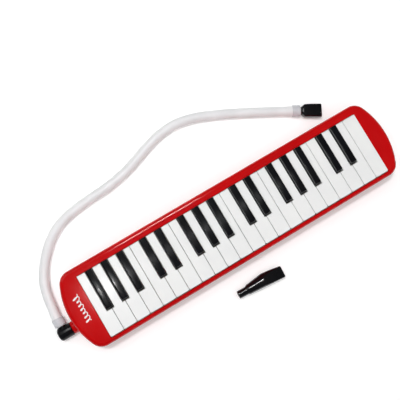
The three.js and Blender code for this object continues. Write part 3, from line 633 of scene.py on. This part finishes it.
def makeSpareMouthpiece():
    rings = blownBody(spare["stations"], spare["bore"], spare["slot"], levels=110, blur=0.02)
    laid = laidDown(rings, spare["middle"], spare["turn"])
    return makePiece("spareMouthpiece", [loft(laid)], finish["blackFitting"], "loose_mouthpiece",
                     ["short_mouthpiece"])


makeSpareMouthpiece()

case = {
    "endRadius": 0.092,
    "cornerRadius": 0.016,
    "topRound": 0.005,
    "bottomRound": 0.0024,
    "wall": 0.0025,
    "top": 0.003,
    "floor": 0.0025,
    "ledge": 0.004,
    "ledgeTop": 0.016,
    "cornerSteps": 14,
    "endSteps": 26,
    "wellRound": 0.00012,
}
well = {"front": 0.0014, "side": 0.0006, "back": 0.0008, "corner": 0.0012}
keyNodes = sorted(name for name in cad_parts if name.startswith("key_") and name != "key_rod")
keyboard = {
    "left": min(spanOf(name, 0)[0] for name in keyNodes),
    "right": max(spanOf(name, 0)[1] for name in keyNodes),
    "front": min(spanOf(name, 1)[0] for name in keyNodes),
    "back": max(spanOf(name, 1)[1] for name in keyNodes),
}


def caseRing(inset, z):
    # Straight sides, a wide arc on each end and a small one in each corner, all tangent. lean is the angle at
    # which the small arcs meet the wide one.
    low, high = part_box("upper_case")
    halfLength, halfWidth = (high.x - low.x) / 2, (high.y - low.y) / 2
    endX = halfLength - case["endRadius"]
    cornerY = halfWidth - case["cornerRadius"]
    cornerX = endX + np.sqrt((case["endRadius"] - case["cornerRadius"]) ** 2 - cornerY**2)
    lean = np.arctan2(cornerY, cornerX - endX)
    small, large = case["cornerRadius"] - inset, case["endRadius"] - inset
    quarter = np.pi / 2
    half = [
        (cornerX, -cornerY, small, -quarter, -lean, case["cornerSteps"], False),
        (endX, 0, large, -lean, lean, case["endSteps"], False),
        (cornerX, cornerY, small, lean, quarter, case["cornerSteps"], True),
    ]
    arcs = []
    for x, y, radius, start, stop, steps, last in half:
        angle = np.linspace(start, stop, steps, endpoint=last)
        arcs.append(np.column_stack([x + radius * np.cos(angle), y + radius * np.sin(angle)]))
    right = np.concatenate(arcs)
    return atHeight(np.concatenate([right, -right]), z)


def rectangleRing(x, y, corner, z):
    # A rectangle with round corners, with as many points on each stretch as the case's outline has.
    quarter = np.pi / 2
    (left, right), (front, back) = x, y
    climbs = (
        (right - corner, front + corner, back - corner, -quarter),
        (left + corner, back - corner, front + corner, quarter),
    )
    stretches = []
    for side, low, high, start in climbs:
        reach = corner if start < 0 else -corner
        first = np.linspace(start, start + quarter, case["cornerSteps"], endpoint=False)
        last = np.linspace(start + quarter, start + 2 * quarter, case["cornerSteps"])
        rise = np.linspace(low, high, case["endSteps"], endpoint=False)
        stretches.append(np.column_stack([side + corner * np.cos(first), low + corner * np.sin(first)]))
        stretches.append(np.column_stack([np.full(len(rise), side + reach), rise]))
        stretches.append(np.column_stack([side + corner * np.cos(last), high + corner * np.sin(last)]))
    return atHeight(np.concatenate(stretches), z)


def wellRing(grow, z):
    # The edge of the well round the keys, made larger by grow all round.
    x = (keyboard["left"] - well["side"] - grow, keyboard["right"] + well["side"] + grow)
    y = (keyboard["front"] - well["front"] - grow, keyboard["back"] + well["back"] + grow)
    return rectangleRing(x, y, well["corner"] + grow, z)


def makeUpperCase():
    # Up the wall, over the rounded rim, across the top, down into the key well and back along the inside.
    bottom, top = spanOf("upper_case", 2)
    rings = [caseRing(0.0002, bottom), caseRing(0, bottom + 0.0003)]
    rings += [caseRing(inset, top - drop) for inset, drop in quarterTurn(case["topRound"], 10)]
    rings += [caseRing(case["topRound"] + 0.00004, top)]
    rings += [wellRing(case["wellRound"] - inset, top - drop)
              for inset, drop in quarterTurn(case["wellRound"], 3)[::-1]]
    ceiling = top - case["top"]
    rings += [wellRing(0, ceiling), caseRing(case["wall"], ceiling), caseRing(case["wall"], bottom)]
    return makePiece("upperCaseShell", [loft(rings, closed=True)], finish["redCase"], "case",
                     ["upper_case"])


strapPlace = {
    "x": (-0.135, -0.015),
    "y": (-0.02, 0.02),
    "recess": 0.004,
    "hollowX": (-0.12, -0.03),
    "hollowY": (-0.0185, 0.0185),
    "hollow": 0.0096,
    "corner": 0.003,
    "recessCorner": 0.0015,
    "bridge": 0.006,
    "bridgeThickness": 0.0012,
    "bridgeFromEnd": 0.006,
    "bridgeOverlap": 0.0005,
    "bridgeCorner": 0.0006,
    "bridgeEdge": 0.0004,
}


def makeLowerCase():
    # From the roof of the hand hollow down to the underside, out and up the wall, and back over the inside.
    place, wall, ledge = strapPlace, case["wall"], case["wall"] + case["ledge"]
    top = spanOf("lower_case", 2)[1]
    small = place["recessCorner"]
    recess = [rectangleRing(grown(place["x"], grow), grown(place["y"], grow), small + grow, z)
              for grow, z in ((0, place["recess"]), (0, 0.0005), (0.0002, 0.0001), (0.0005, 0), (0.0008, 0))]
    roof, corner = place["hollow"], place["corner"]
    hollow = [rectangleRing(place["hollowX"], place["hollowY"], corner, z) for z in (roof, place["recess"])]
    under = [caseRing(case["bottomRound"] + 0.0004, 0)]
    under += [caseRing(inset, drop) for inset, drop in quarterTurn(case["bottomRound"], 7)[::-1]]
    rim = [caseRing(0, top - 0.0003), caseRing(0.0002, top), caseRing(wall, top)]
    rim += [caseRing(wall, case["ledgeTop"]), caseRing(ledge, case["ledgeTop"])]
    rim += [caseRing(ledge, case["floor"])]
    panX, panY = grown(place["x"], wall), grown(place["y"], wall)
    roofX, roofY = grown(place["hollowX"], wall), grown(place["hollowY"], wall)
    panTop = place["recess"] + wall
    pan = [rectangleRing(panX, panY, corner, z) for z in (case["floor"], panTop)]
    pan += [rectangleRing(roofX, roofY, corner, z) for z in (panTop + 0.0001, roof + wall)]
    return makePiece("lowerCaseShell", [loft(hollow + recess + under + rim + pan)], finish["redCase"], "case",
                     ["lower_case"])


def drill(piece, holes):
    # Cuts round holes, each (centre, axis, radius, from, to), and keeps the cut mesh without its modifiers.
    for centre, axis, radius, start, stop in holes:
        points, faces = loft(turnedRings([(start, radius), (stop, radius)], centre, axis, 36))
        cut = piece.modifiers.new("hole", "BOOLEAN")
        cut.object = addToScene("drill", meshOf("drill", points.tolist(), faces))
        cut.solver = "EXACT"
    bpy.context.view_layer.update()
    shaped = piece.evaluated_get(bpy.context.evaluated_depsgraph_get())
    mesh = bpy.data.meshes.new_from_object(shaped)
    bits = [modifier.object for modifier in piece.modifiers]
    piece.modifiers.clear()
    piece.data = mesh
    for bit in bits:
        bpy.data.objects.remove(bit)
    mesh.set_sharp_from_angle(angle=np.radians(softCrease))


screwNodes = sorted(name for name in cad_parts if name.startswith("case_screw"))
screw = {
    "shaft": 0.0015,
    "head": 0.003,
    "headHeight": 0.002,
    "point": 0.002,
    "well": 0.0033,
    "wellDepth": 0.003,
    "clearance": 0.0003,
    "slotLength": 0.0019,
    "slotWidth": 0.00045,
    "slotDepth": 0.0012,
    "sides": 64,
}
drain = {
    "hole": 0.0044,
    "button": 0.004,
    "flange": 0.0065,
    "flangeThickness": 0.0015,
    "stem": 0.002,
    "stemHeight": 0.003,
}
socket = {"radius": 0.0078, "bore": 0.00515, "depth": 0.009}


def elbowAxis():
    # The (y, z) of the elbow's barrel, which is as wide as it is high and starts at the elbow's front.
    low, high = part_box("elbow")
    return low.y + (high.z - low.z) / 2, middleOf("elbow").z


def lowerCaseHoles():
    holes = []
    for node in screwNodes:
        centre = middleOf(node)
        shaftHole, deep = screw["shaft"] + screw["clearance"], screw["wellDepth"]
        holes.append(((centre.x, centre.y, 0), "z", screw["well"], -0.001, deep))
        holes.append(((centre.x, centre.y, 0), "z", shaftHole, deep - 0.0002, deep + 0.0005))
    button = middleOf("drain_button")
    holes.append(((button.x, button.y, 0), "z", drain["hole"], -0.001, 0.004))
    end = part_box("upper_case")[0].x
    holes.append(((0, *elbowAxis()), "x", socket["bore"], end - 0.004, end + socket["depth"] + 0.002))
    return holes


def makeSocket():
    # A short pipe with a soft rim, turned about the elbow's axis.
    radius, bore = socket["radius"], socket["bore"]
    start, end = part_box("lower_case")[0].x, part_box("upper_case")[0].x + case["wall"] * 0.6
    outside = [(end, bore), (start + 0.0004, bore), (start, bore + 0.0005), (start, radius - 0.0009)]
    outside += [(start + 0.0003, radius - 0.0003), (start + 0.0009, radius), (end, radius)]
    rings = turnedRings(outside, (0, *elbowAxis()), "x", 56)
    return makePiece("blowingSocket", [loft(rings, closed=True)], finish["redCase"], "case")


def makeBridges():
    # Two flat bars across the strap's recess, with every edge rounded.
    place, parts = strapPlace, []
    inner = (place["x"][0] + place["bridgeFromEnd"], place["x"][1] - place["bridgeFromEnd"] - place["bridge"])
    for start in inner:
        corners = cornersOf((start, start + place["bridge"]), grown(place["y"], place["bridgeOverlap"]))
        thickness, edge = place["bridgeThickness"], place["bridgeEdge"]
        parts.append(softSlab(corners, place["bridgeCorner"], 0, thickness, edge, 4))
    return makePiece("strapBridges", parts, finish["redCase"], "case")


lowerShell = makeLowerCase()
drill(lowerShell, lowerCaseHoles())
makeUpperCase()
makeSocket()
makeBridges()
print("case done")

emblem = {
    "x": -0.1977,
    "from": -0.0145,
    "to": 0.019,
    "loops": 7,
    "tall": 0.0022,
    "wide": 0.0014,
    "slant": 0.3,
    "swell": 0.25,
    "swellPace": 0.41,
    "swellStart": 2.4,
    "ends": 0.0018,
    "endAt": 0.07,
    "endSpread": 0.06,
    "lastEnd": 0.8,
    "pen": 0.00046,
    "press": 0.00026,
    "low": 0.00005,
    "high": 0.00012,
    "steps": 420,
}


def makeEmblem():
    # A white flourish in place of lettering: a row of pen loops, like a circle rolled along a line, taller at
    # both ends. The pen's width follows the stroke, and its height climbs slowly so that crossings don't
    # coincide.
    t = np.linspace(0, 1, emblem["steps"])
    phase = 2 * np.pi * emblem["loops"] * t
    firstEnd = np.exp(-(((t - emblem["endAt"]) / emblem["endSpread"]) ** 2))
    lastEnd = np.exp(-(((1 - emblem["endAt"] - t) / emblem["endSpread"]) ** 2))
    ends = firstEnd + emblem["lastEnd"] * lastEnd
    wave = np.cos(emblem["swellPace"] * phase + emblem["swellStart"])
    swell = emblem["tall"] * (1 + emblem["swell"] * wave)
    x = (swell + emblem["ends"] * ends) * np.cos(phase)
    y = emblem["from"] + (emblem["to"] - emblem["from"]) * t + emblem["wide"] * np.sin(phase)
    line = np.column_stack([emblem["x"] + x, y + emblem["slant"] * x])
    tangent = np.gradient(line, axis=0)
    tangent /= np.linalg.norm(tangent, axis=1, keepdims=True)
    across = np.column_stack([-tangent[:, 1], tangent[:, 0]])
    pen = (emblem["pen"] + emblem["press"] * np.sin(phase / 2) ** 2)[:, None]
    base = np.full(len(t), spanOf("upper_case", 2)[1] + 0.00001)
    crest = base + emblem["low"] + (emblem["high"] - emblem["low"]) * t
    sides = [(line - across * pen, base), (line + across * pen, base)]
    sides += [(line + across * pen, crest), (line - across * pen, crest)]
    rings = np.stack([atHeight(points, z) for points, z in sides], axis=1)[::-1]
    return makePiece("casePrint", [loft(rings)], finish["whitePrint"], "case")


makeEmblem()

whiteKey = {
    "lip": 0.0003,
    "side": 0.00008,
    "skirt": 0.008,
    "edge": 0.0004,
    "wall": 0.0016,
    "top": 0.002,
    "front": 0.0013,
    "corner": 0.0005,
    "notch": 0.0005,
}
blackKey = {
    "foot": 0.001,
    "slope": 0.0018,
    "taper": 0.0006,
    "edge": 0.001,
    "arch": 0.0006,
    "crown": 0.00012,
    "wall": 0.0016,
    "roof": 0.0036,
    "corner": 0.0012,
    "cornerFade": 0.4,
    "backCorner": 0.3,
    "insideCorner": 0.0004,
    "steps": (6, 14),  # points on each corner and along each side
}
lever = {"width": 0.005, "frontDepth": 0.0042, "hole": 0.0026, "lug": 0.0018, "notchGap": 0.0007}
hair = 1e-7  # keeps the ring on a black key's crest from closing to a line
rod = middleOf("key_rod")
whiteNodes = [name for name in keyNodes if not name.endswith("sharp")]
blackNodes = [name for name in keyNodes if name.endswith("sharp")]
whiteTop = spanOf(whiteNodes[0], 2)[1]
blackFront = spanOf(blackNodes[0], 1)[0]
lowestSkirt = whiteTop - whiteKey["skirt"]


def tailSpan(node):
    # A white key is narrowed at the back by the black keys that reach into its width.
    left, right = spanOf(node, 0)
    if node.endswith("sharp"):
        return left, right
    for other in blackNodes:
        low, high = grown(spanOf(other, 0), lever["notchGap"])
        if left < low < right:
            right = low
        if left < high < right:
            left = high
    return left, right


def leverPart(node, front):
    # The lever's side view, cut in two through the rod hole so that each half is a plain outline, and as wide
    # as the spine. The faces where the halves meet are left out, and merging makes them one skin.
    bottom = spanOf(node, 2)[0]
    ceiling = whiteTop - whiteKey["top"] + 0.0002
    hole = lever["hole"]
    lugFront = rod.y - hole - lever["lug"]
    back = keyboard["back"] - whiteKey["wall"]
    angle = np.linspace(-np.pi / 2, np.pi / 2, 13)
    backHole = np.column_stack([rod.y + hole * np.cos(angle), rod.z + hole * np.sin(angle)])
    frontHole = np.column_stack([rod.y - hole * np.cos(angle), rod.z + hole * np.sin(angle)])
    backSide = [(rod.y, bottom), (back, bottom), (back, ceiling), (rod.y, ceiling)]
    slim = ceiling - lever["frontDepth"]
    frontSide = [(rod.y, ceiling), (front, ceiling), (front, slim), (lugFront - 0.005, lowestSkirt)]
    frontSide += [(lugFront, bottom + 0.0015), (lugFront + 0.002, bottom), (rod.y, bottom)]
    backHalf = np.concatenate([backSide, backHole[::-1]])
    frontHalf = np.concatenate([frontSide, frontHole])
    low, high = tailSpan(node)
    middle, half = (low + high) / 2, lever["width"] / 2
    parts = []
    for outline in (backHalf, frontHalf):
        count = len(outline)
        rings = [np.column_stack([np.full(count, x), outline]) for x in (middle - half, middle + half)]
        points, faces = loft(rings)
        split = [i for i in range(count) if abs(outline[i, 0] - rod.y) < 1e-9]
        joint = {(i, (i + 1) % count) for i in split if (i + 1) % count in split}
        faces = [face for face in faces if len(face) > 4 or (face[0], face[1]) not in joint]
        parts.append((points, faces))
    return parts


def makeWhiteKey(node):
    # A hollow cap, from its ceiling down the inside, round the lower edge, up the outside and over a soft
    # rim.
    left, right = spanOf(node, 0)
    front, back = spanOf(node, 1)
    front -= whiteKey["lip"]
    low, high = grown(tailSpan(node), whiteKey["side"])
    left, right = grown((left, right), whiteKey["side"])
    notch = blackFront - lever["notchGap"]
    corners, radii = [(left, front), (right, front)], [whiteKey["front"]] * 2
    if high < right - 1e-5:
        corners += [(right, notch), (high, notch)]
        radii += [whiteKey["corner"], whiteKey["notch"]]
    corners += [(high, back), (low, back)]
    radii += [whiteKey["corner"]] * 2
    if low > left + 1e-5:
        corners += [(low, notch), (left, notch)]
        radii += [whiteKey["notch"], whiteKey["corner"]]
    bottom, wall = lowestSkirt, whiteKey["wall"]
    levels = [(wall, whiteTop - whiteKey["top"]), (wall, bottom + 0.0002), (wall - 0.0002, bottom)]
    levels += [(0.0002, bottom), (0, bottom + 0.0002)]
    levels += [(inset, whiteTop - drop) for inset, drop in quarterTurn(whiteKey["edge"], 5)]
    levels += [(whiteKey["edge"] + 0.0001, whiteTop)]
    cap = loft([atHeight(filletedRing(corners, radii, inset, 6), z) for inset, z in levels])
    spine = leverPart(node, front + wall / 2)
    makePiece("cap_" + node, [cap, *spine], finish["whiteKey"], node + "_lever", [node],
              merge=True)


def makeBlackKey(node):
    # Sides that lean in, a front that leans back, and a top that is crowned across and arched along: its
    # height falls by arch times the square of the share of the half-length, and by crown times the square
    # of the share of the half-width.
    left, right = spanOf(node, 0)
    front, back = spanOf(node, 1)
    top = spanOf(node, 2)[1]
    half = (right - left) / 2
    edge, taper, slope, inner = blackKey["edge"], blackKey["taper"], blackKey["slope"], blackKey["wall"]
    shoulder, foot = top - edge, lowestSkirt + blackKey["foot"]
    levels = [(0, 0, lowestSkirt + 0.0002), (0, 0.0001, foot)]
    rise = np.linspace(0, 1, 6)[1:]
    levels += [(taper * share**2, slope * share, foot + share * (shoulder - foot)) for share in rise]
    levels += [(taper + inset, slope + inset, top - drop) for inset, drop in quarterTurn(edge, 6)[1:]]
    levels += [(inset, slope + inset, top) for inset in np.linspace(taper + edge, half, 7)[1:]]
    rings = []
    for inset, lean, z in levels:
        near = inset - hair if half - inset < 1e-6 else inset
        corner = max(min(blackKey["corner"] - inset * blackKey["cornerFade"], half - inset), 0)
        radii = [corner, corner, corner * blackKey["backCorner"], corner * blackKey["backCorner"]]
        corners = cornersOf((left + near, right - near), (front + lean, back))
        ring = filletedRing(corners, radii, 0, *blackKey["steps"])
        along = (ring[:, 1] - (front + back) / 2) / ((back - front) / 2)
        across = (ring[:, 0] - (left + right) / 2) / half
        share = np.clip((z - shoulder) / edge, 0, 1)
        fall = share * (blackKey["arch"] * along**2 + blackKey["crown"] * across**2)
        rings.append(atHeight(ring, z - fall))
    hollow = cornersOf((left + inner, right - inner), (front + slope + inner, back - inner))
    corner = blackKey["insideCorner"]
    inside = filletedRing(hollow, [corner] * 4, 0, *blackKey["steps"])
    rimInside = filletedRing(hollow, [2 * corner] * 4, 0.0002 - inner, *blackKey["steps"])
    start = [atHeight(inside, top - blackKey["roof"]), atHeight(inside, lowestSkirt)]
    start.append(atHeight(rimInside, lowestSkirt))
    cap = loft(start + rings, lastCap=False)
    spine = leverPart(node, front + slope + inner / 2)
    makePiece("cap_" + node, [cap, *spine], finish["blackKey"], node + "_lever", [node],
              merge=True)


for node in whiteNodes:
    makeWhiteKey(node)
for node in blackNodes:
    makeBlackKey(node)
print("keys:", len(whiteNodes), "white and", len(blackNodes), "black")

strap = {"hem": 0.0035, "hemStep": 0.0005, "thinner": 0.72, "sides": 96}


def makeStrap():
    # A flat band: sections along X with a raised hem on both long edges. A section is
    # (W |cos a|^0.22, H |sin a|^0.3), and between the hems it is thinner.
    low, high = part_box("hand_strap")
    middle, halfWidth, halfThick = (low.z + high.z) / 2, (high.y - low.y) / 2, (high.z - low.z) / 2
    angle = np.linspace(0, 2 * np.pi, strap["sides"], endpoint=False)
    y = halfWidth * np.sign(np.cos(angle)) * np.abs(np.cos(angle)) ** 0.22
    lift = np.sign(np.sin(angle)) * np.abs(np.sin(angle)) ** 0.3
    inHem = np.clip((np.abs(y) - halfWidth + strap["hem"]) / strap["hemStep"], 0, 1)
    thick = halfThick * lift * (strap["thinner"] + (1 - strap["thinner"]) * inHem)
    sections = [(low.x, 0.9), (low.x + 0.0004, 1)]
    sections += [(x, 1) for x in np.linspace(low.x + 0.002, high.x - 0.002, 40)]
    sections += [(high.x - 0.0004, 1), (high.x, 0.9)]
    rings = [np.column_stack([np.full(strap["sides"], x), y * shrink, middle + thick * shrink])
             for x, shrink in sections]
    return makePiece("handStrap", [loft(rings)], finish["strapWeave"], "case", ["hand_strap"])


rivet = {"radius": 0.0026, "dome": 0.0013, "from": 0.0005, "to": 0.0023, "fromEnd": 0.0035, "aside": 0.0065}


def makeRivets():
    # Domed heads that hold the strap's ends.
    low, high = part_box("hand_strap")
    rise = np.linspace(0, np.pi / 2, 8)
    dome = [(rivet["from"] + rivet["dome"] * (1 - np.cos(a)), rivet["radius"] * np.sin(a) + 0.00005)
            for a in rise]
    dome.append((rivet["to"], rivet["radius"]))
    places = [(x, y, 0) for x in (low.x + rivet["fromEnd"], high.x - rivet["fromEnd"])
              for y in (-rivet["aside"], rivet["aside"])]
    parts = [loft(turnedRings(dome, place, "z", 28)) for place in places]
    return makePiece("strapRivets", parts, finish["steel"], "case")


def crossRing(length, width, z, centre, sides):
    # The outline of two crossed bars: at angle a its radius is the greater of
    # min(length / |cos a|, width / |sin a|) and min(width / |cos a|, length / |sin a|).
    # It starts a hair past 0, so that nothing is divided by 0.
    angle = np.linspace(0, 2 * np.pi, sides, endpoint=False) + 1e-4
    cosine, sine = np.abs(np.cos(angle)), np.abs(np.sin(angle))
    reach = np.maximum(np.minimum(length / cosine, width / sine), np.minimum(width / cosine, length / sine))
    return atHeight(np.column_stack([centre.x + reach * np.cos(angle), centre.y + reach * np.sin(angle)]), z)


def makeScrew(node):
    # From the bottom of the cross slot out over the head and up the shaft to its point.
    low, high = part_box(node)
    centre, sides, radius, shaft = (low + high) / 2, screw["sides"], screw["head"], screw["shaft"]
    slot = [crossRing(screw["slotLength"], screw["slotWidth"], low.z + depth, centre, sides)
            for depth in (screw["slotDepth"], 0.0001)]
    head = low.z + screw["headHeight"]
    profile = [(low.z, radius - 0.0009), (low.z + 0.0002, radius - 0.0004), (head - 0.0004, radius - 0.0001)]
    profile += [(head, radius - 0.0002), (head, shaft), (high.z - screw["point"], shaft), (high.z, 0.0002)]
    rings = np.concatenate([slot, turnedRings(profile, (centre.x, centre.y, 0), "z", sides)])
    makePiece("turned_" + node, [loft(rings)], finish["steel"], "case", [node])


def makeDrainButton():
    # A dished face in its hole, a flange inside the case and a stem for its spring.
    low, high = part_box("drain_button")
    centre = (low + high) / 2
    button, flange = drain["button"], drain["flange"]
    stem, flangeTop = drain["stem"], high.z - drain["stemHeight"]
    flangeBottom = flangeTop - drain["flangeThickness"]
    profile = [(low.z + 0.0004, 0.0003), (low.z + 0.0003, 0.0015), (low.z, 0.0026), (low.z, button - 0.0005)]
    profile += [(low.z + 0.0002, button - 0.0001), (low.z + 0.0006, button), (flangeBottom, button)]
    profile += [(flangeBottom, flange), (flangeTop, flange), (flangeTop, stem)]
    profile += [(high.z - 0.0003, stem), (high.z, stem - 0.0003)]
    rings = turnedRings(profile, (centre.x, centre.y, 0), "z", 48)
    makePiece("drainButtonTurned", [loft(rings)], finish["blackFitting"], "drain",
              ["drain_button"])


spring = {"wire": 0.00045, "radius": 0.0034, "turns": 6, "flat": 0.4, "steps": 40, "travel": 0.0025}


def makeDrainSpring():
    # A helix whose first and last stretch lie flat: (r cos a, r sin a, low + share (high - low)), where the
    # share climbs from 0 to 1 over the turns between.
    low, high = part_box("drain_spring")
    centre = (low + high) / 2
    turn = np.linspace(0, spring["turns"], spring["turns"] * spring["steps"] + 1)
    share = np.clip((turn - spring["flat"]) / (spring["turns"] - 2 * spring["flat"]), 0, 1)
    bottom, top = low.z + spring["wire"], high.z - spring["wire"]
    angle = 2 * np.pi * turn
    x, y = centre.x + spring["radius"] * np.cos(angle), centre.y + spring["radius"] * np.sin(angle)
    path = np.column_stack([x, y, bottom + (top - bottom) * share])
    wire = loft(tubeRings(path, spring["wire"], 12))
    coil = makePiece("drainSpringCoil", [wire], finish["steel"], "case", ["drain_spring"], crease=60)
    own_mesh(coil)


stitch = {"pitch": 0.003, "length": 0.0021, "thick": 0.00024, "fromEdge": 0.0021, "ends": 0.0085}


def makeStitches():
    # Two rows of thread: one stitch is a spindle, its radius thick sqrt(1 - t^2), copied along both hems.
    low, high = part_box("hand_strap")
    t = np.linspace(-0.98, 0.98, 7)
    spindle = turnedRings(np.column_stack([t * stitch["length"] / 2, stitch["thick"] * np.sqrt(1 - t**2)]),
                          (0, 0, low.z + 0.00005), "x", 8)
    across = (low.y + stitch["fromEdge"], high.y - stitch["fromEdge"])
    places = np.arange(low.x + stitch["ends"], high.x - stitch["ends"], stitch["pitch"])
    parts = [loft(spindle + np.array([x, y, 0])) for y in across for x in places]
    makePiece("strapStitches", parts, finish["thread"], "case")


makeStrap()
makeStitches()
makeDrainSpring()
makeRivets()
for node in screwNodes:
    makeScrew(node)
makeDrainButton()
print("underside done")

pad = {"width": 0.0068, "length": 0.0115, "corner": 0.001, "edge": 0.0004, "gap": 0.00005}
reed = {
    "width": 0.0024,
    "tip": 0.8,
    "thickness": 0.0003,
    "longest": 0.0245,
    "shortest": 0.0105,
    "root": 0.003,
    "rivet": 0.0009,
    "slotFromBack": 0.002,
    "gap": 0.0001,
}
boardThickness = 0.003


def makePads():
    # One soft block under each lever's back end, down to the board.
    boardTop = spanOf("valve_board", 2)[0] + boardThickness
    back = keyboard["back"] - whiteKey["wall"]
    for node in keyNodes:
        middle = sum(tailSpan(node)) / 2
        bottom, top = boardTop + pad["gap"], spanOf(node, 2)[0] - pad["gap"]
        corners = cornersOf(grown((middle, middle), pad["width"] / 2), (back - pad["length"], back))
        block = softSlab(corners, pad["corner"], bottom, top, pad["edge"], 3, 4)
        makePiece("pad_" + node, [block], finish["padFelt"], node + "_lever")


def makeReeds():
    # One thin tongue under each slot, long for low notes, with a rivet at its root.
    plateBottom = spanOf("reed_plate_low", 2)[0]
    order = sorted(keyNodes, key=lambda node: sum(tailSpan(node)))
    slotBack = keyboard["back"] - whiteKey["wall"] - reed["slotFromBack"]
    half, root = reed["width"] / 2, slotBack + reed["root"]
    tongueTop = plateBottom - reed["gap"]
    levels = (tongueTop - reed["thickness"], tongueTop)
    top = levels[0] - 0.00005
    profile = [(top - 0.0005, 0.0002), (top - 0.0004, reed["rivet"] * 0.7), (top, reed["rivet"])]
    tongues, rivets = [], []
    for number, node in enumerate(order):
        share = number / (len(order) - 1)
        tip = slotBack - reed["longest"] - (reed["shortest"] - reed["longest"]) * share
        middle = sum(tailSpan(node)) / 2
        slim = half * reed["tip"]
        corners = [(middle - slim, tip), (middle + slim, tip), (middle + half, root), (middle - half, root)]
        tongues.append(loft([atHeight(filletedRing(corners, [0.0003] * 4, 0, 3), z) for z in levels]))
        rivets.append(loft(turnedRings(profile, (middle, slotBack + reed["root"] / 2, 0), "z", 16)))
    makePiece("reedTongues", tongues, finish["brass"], "case")
    makePiece("reedRivets", rivets, finish["steel"], "case")


makePads()
makeReeds()

carried = {
    "valve_board": "creamBoard",
    "chamber_gasket": "softRubber",
    "reed_plate_low": "brass",
    "reed_plate_high": "brass",
    "key_rod": "steel",
    "white_key_felt": "redFelt",
    "black_key_felt": "redFelt",
    "drain_seal": "softRubber",
}
for node, material in carried.items():
    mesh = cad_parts[node].data
    mesh.materials.clear()
    mesh.materials.append(finish[material])
print("inside done")

studio = {
    "world": 0.08,
    "floorGlow": (0.16, 0.95),
    "glowRises": (0.7, 3.5),
    "backdropGlow": 0.93,
    "reach": 25.0,
    "lights": {
        "ceiling": {"place": (0.05, -0.1, 2.0), "size": (2.6, 2.6), "power": 27, "glossy": False},
        "key": {"place": (-0.3, 0.6, 3.0), "size": (0.3, 0.3), "power": 36, "glossy": False},
        "backLeft": {"place": (-0.65, 0.9, 1.2), "size": (0.8, 0.8), "power": 2.2},
        "strip": {"place": (0.03, 0.025, 1.0), "size": (0.54, 0.04), "power": 0.105, "aimed": False},
        "lamp": {"place": (-0.24, 0.025, 1.0), "size": (0.034, 0.034), "power": 0.3, "aimed": False},
        "ridge": {"place": (-0.03, 0.37, 1.0), "size": (0.26, 0.05), "power": 3.4, "diffuse": False},
    },
}


def softbox(name, box):
    # A light faces straight down unless it is aimed, at the middle of the floor.
    lamp = bpy.data.lights.new(name, "AREA")
    lamp.shape = "RECTANGLE"
    lamp.size, lamp.size_y = box["size"]
    lamp.energy = box["power"]
    holder = addToScene(name, lamp)
    holder.location = box["place"]
    if box.get("aimed", True):
        holder.rotation_euler = (-Vector(box["place"])).to_track_quat("-Z", "Y").to_euler()
    holder.visible_glossy = box.get("glossy", True)
    holder.visible_diffuse = box.get("diffuse", True)


def makeBackdrop(reach):
    # A dome over the floor, R (cos e cos a, cos e sin a, sin e), that glows evenly and lights nothing.
    material, tree, shader, where = startMaterial("paleBackdrop", 1.0)
    tint(tree, shader, noiseOver(tree, where, 0.1), (0.9, 0.9, 0.9), (0.92, 0.92, 0.92))
    shader.inputs["Emission Color"].default_value = (1, 1, 1, 1)
    shader.inputs["Emission Strength"].default_value = studio["backdropGlow"]
    rise = np.linspace(0, 0.49 * np.pi, 16)
    profile = np.column_stack([reach * np.sin(rise), reach * np.cos(rise)])
    points, faces = loft(turnedRings(profile, (0, 0, -0.01), "z", 48), firstCap=False)
    mesh = meshOf("backdrop", points.tolist(), faces)
    mesh.materials.append(material)
    dome = addToScene("backdrop", mesh)
    dome.visible_diffuse = dome.visible_glossy = dome.visible_shadow = False
    return dome


def makeFloor(reach):
    # Pale paper that glows more with distance, so that it stays pale beyond the lamps' reach.
    material, tree, shader, where = startMaterial("palePaper", 0.9)
    tint(tree, shader, noiseOver(tree, where, 3), (0.93, 0.93, 0.93), (0.95, 0.95, 0.95))
    raiseGrain(tree, shader, noiseOver(tree, where, 400, 4), 0.03, 0.0002)
    shader.inputs["Emission Color"].default_value = (1, 1, 1, 1)
    distance = tree.nodes.new("ShaderNodeVectorMath")
    distance.operation = "LENGTH"
    glow = tree.nodes.new("ShaderNodeMapRange")
    glow.interpolation_type = "SMOOTHSTEP"
    glow.inputs["From Min"].default_value, glow.inputs["From Max"].default_value = studio["glowRises"]
    glow.inputs["To Min"].default_value, glow.inputs["To Max"].default_value = studio["floorGlow"]
    tree.links.new(where, distance.inputs[0])
    tree.links.new(distance.outputs["Value"], glow.inputs["Value"])
    tree.links.new(glow.outputs["Result"], shader.inputs["Emission Strength"])
    corners = [(x, y, 0) for x, y in cornersOf((-reach, reach), (-reach, reach))]
    mesh = meshOf("floor", corners, [(0, 1, 2, 3)])
    mesh.materials.append(material)
    return addToScene("floor", mesh)


def makeStudio():
    world = bpy.data.worlds.new("studio")
    bpy.context.scene.world = world
    world.use_nodes = True
    world.node_tree.nodes["Background"].inputs["Color"].default_value = (1, 1, 1, 1)
    world.node_tree.nodes["Background"].inputs["Strength"].default_value = studio["world"]
    for name, box in studio["lights"].items():
        softbox(name + "Light", box)
    reach = studio["reach"]
    floor = makeFloor(reach)
    makeBackdrop(reach)
    bpy.context.scene.view_settings.view_transform = "Standard"


makeStudio()
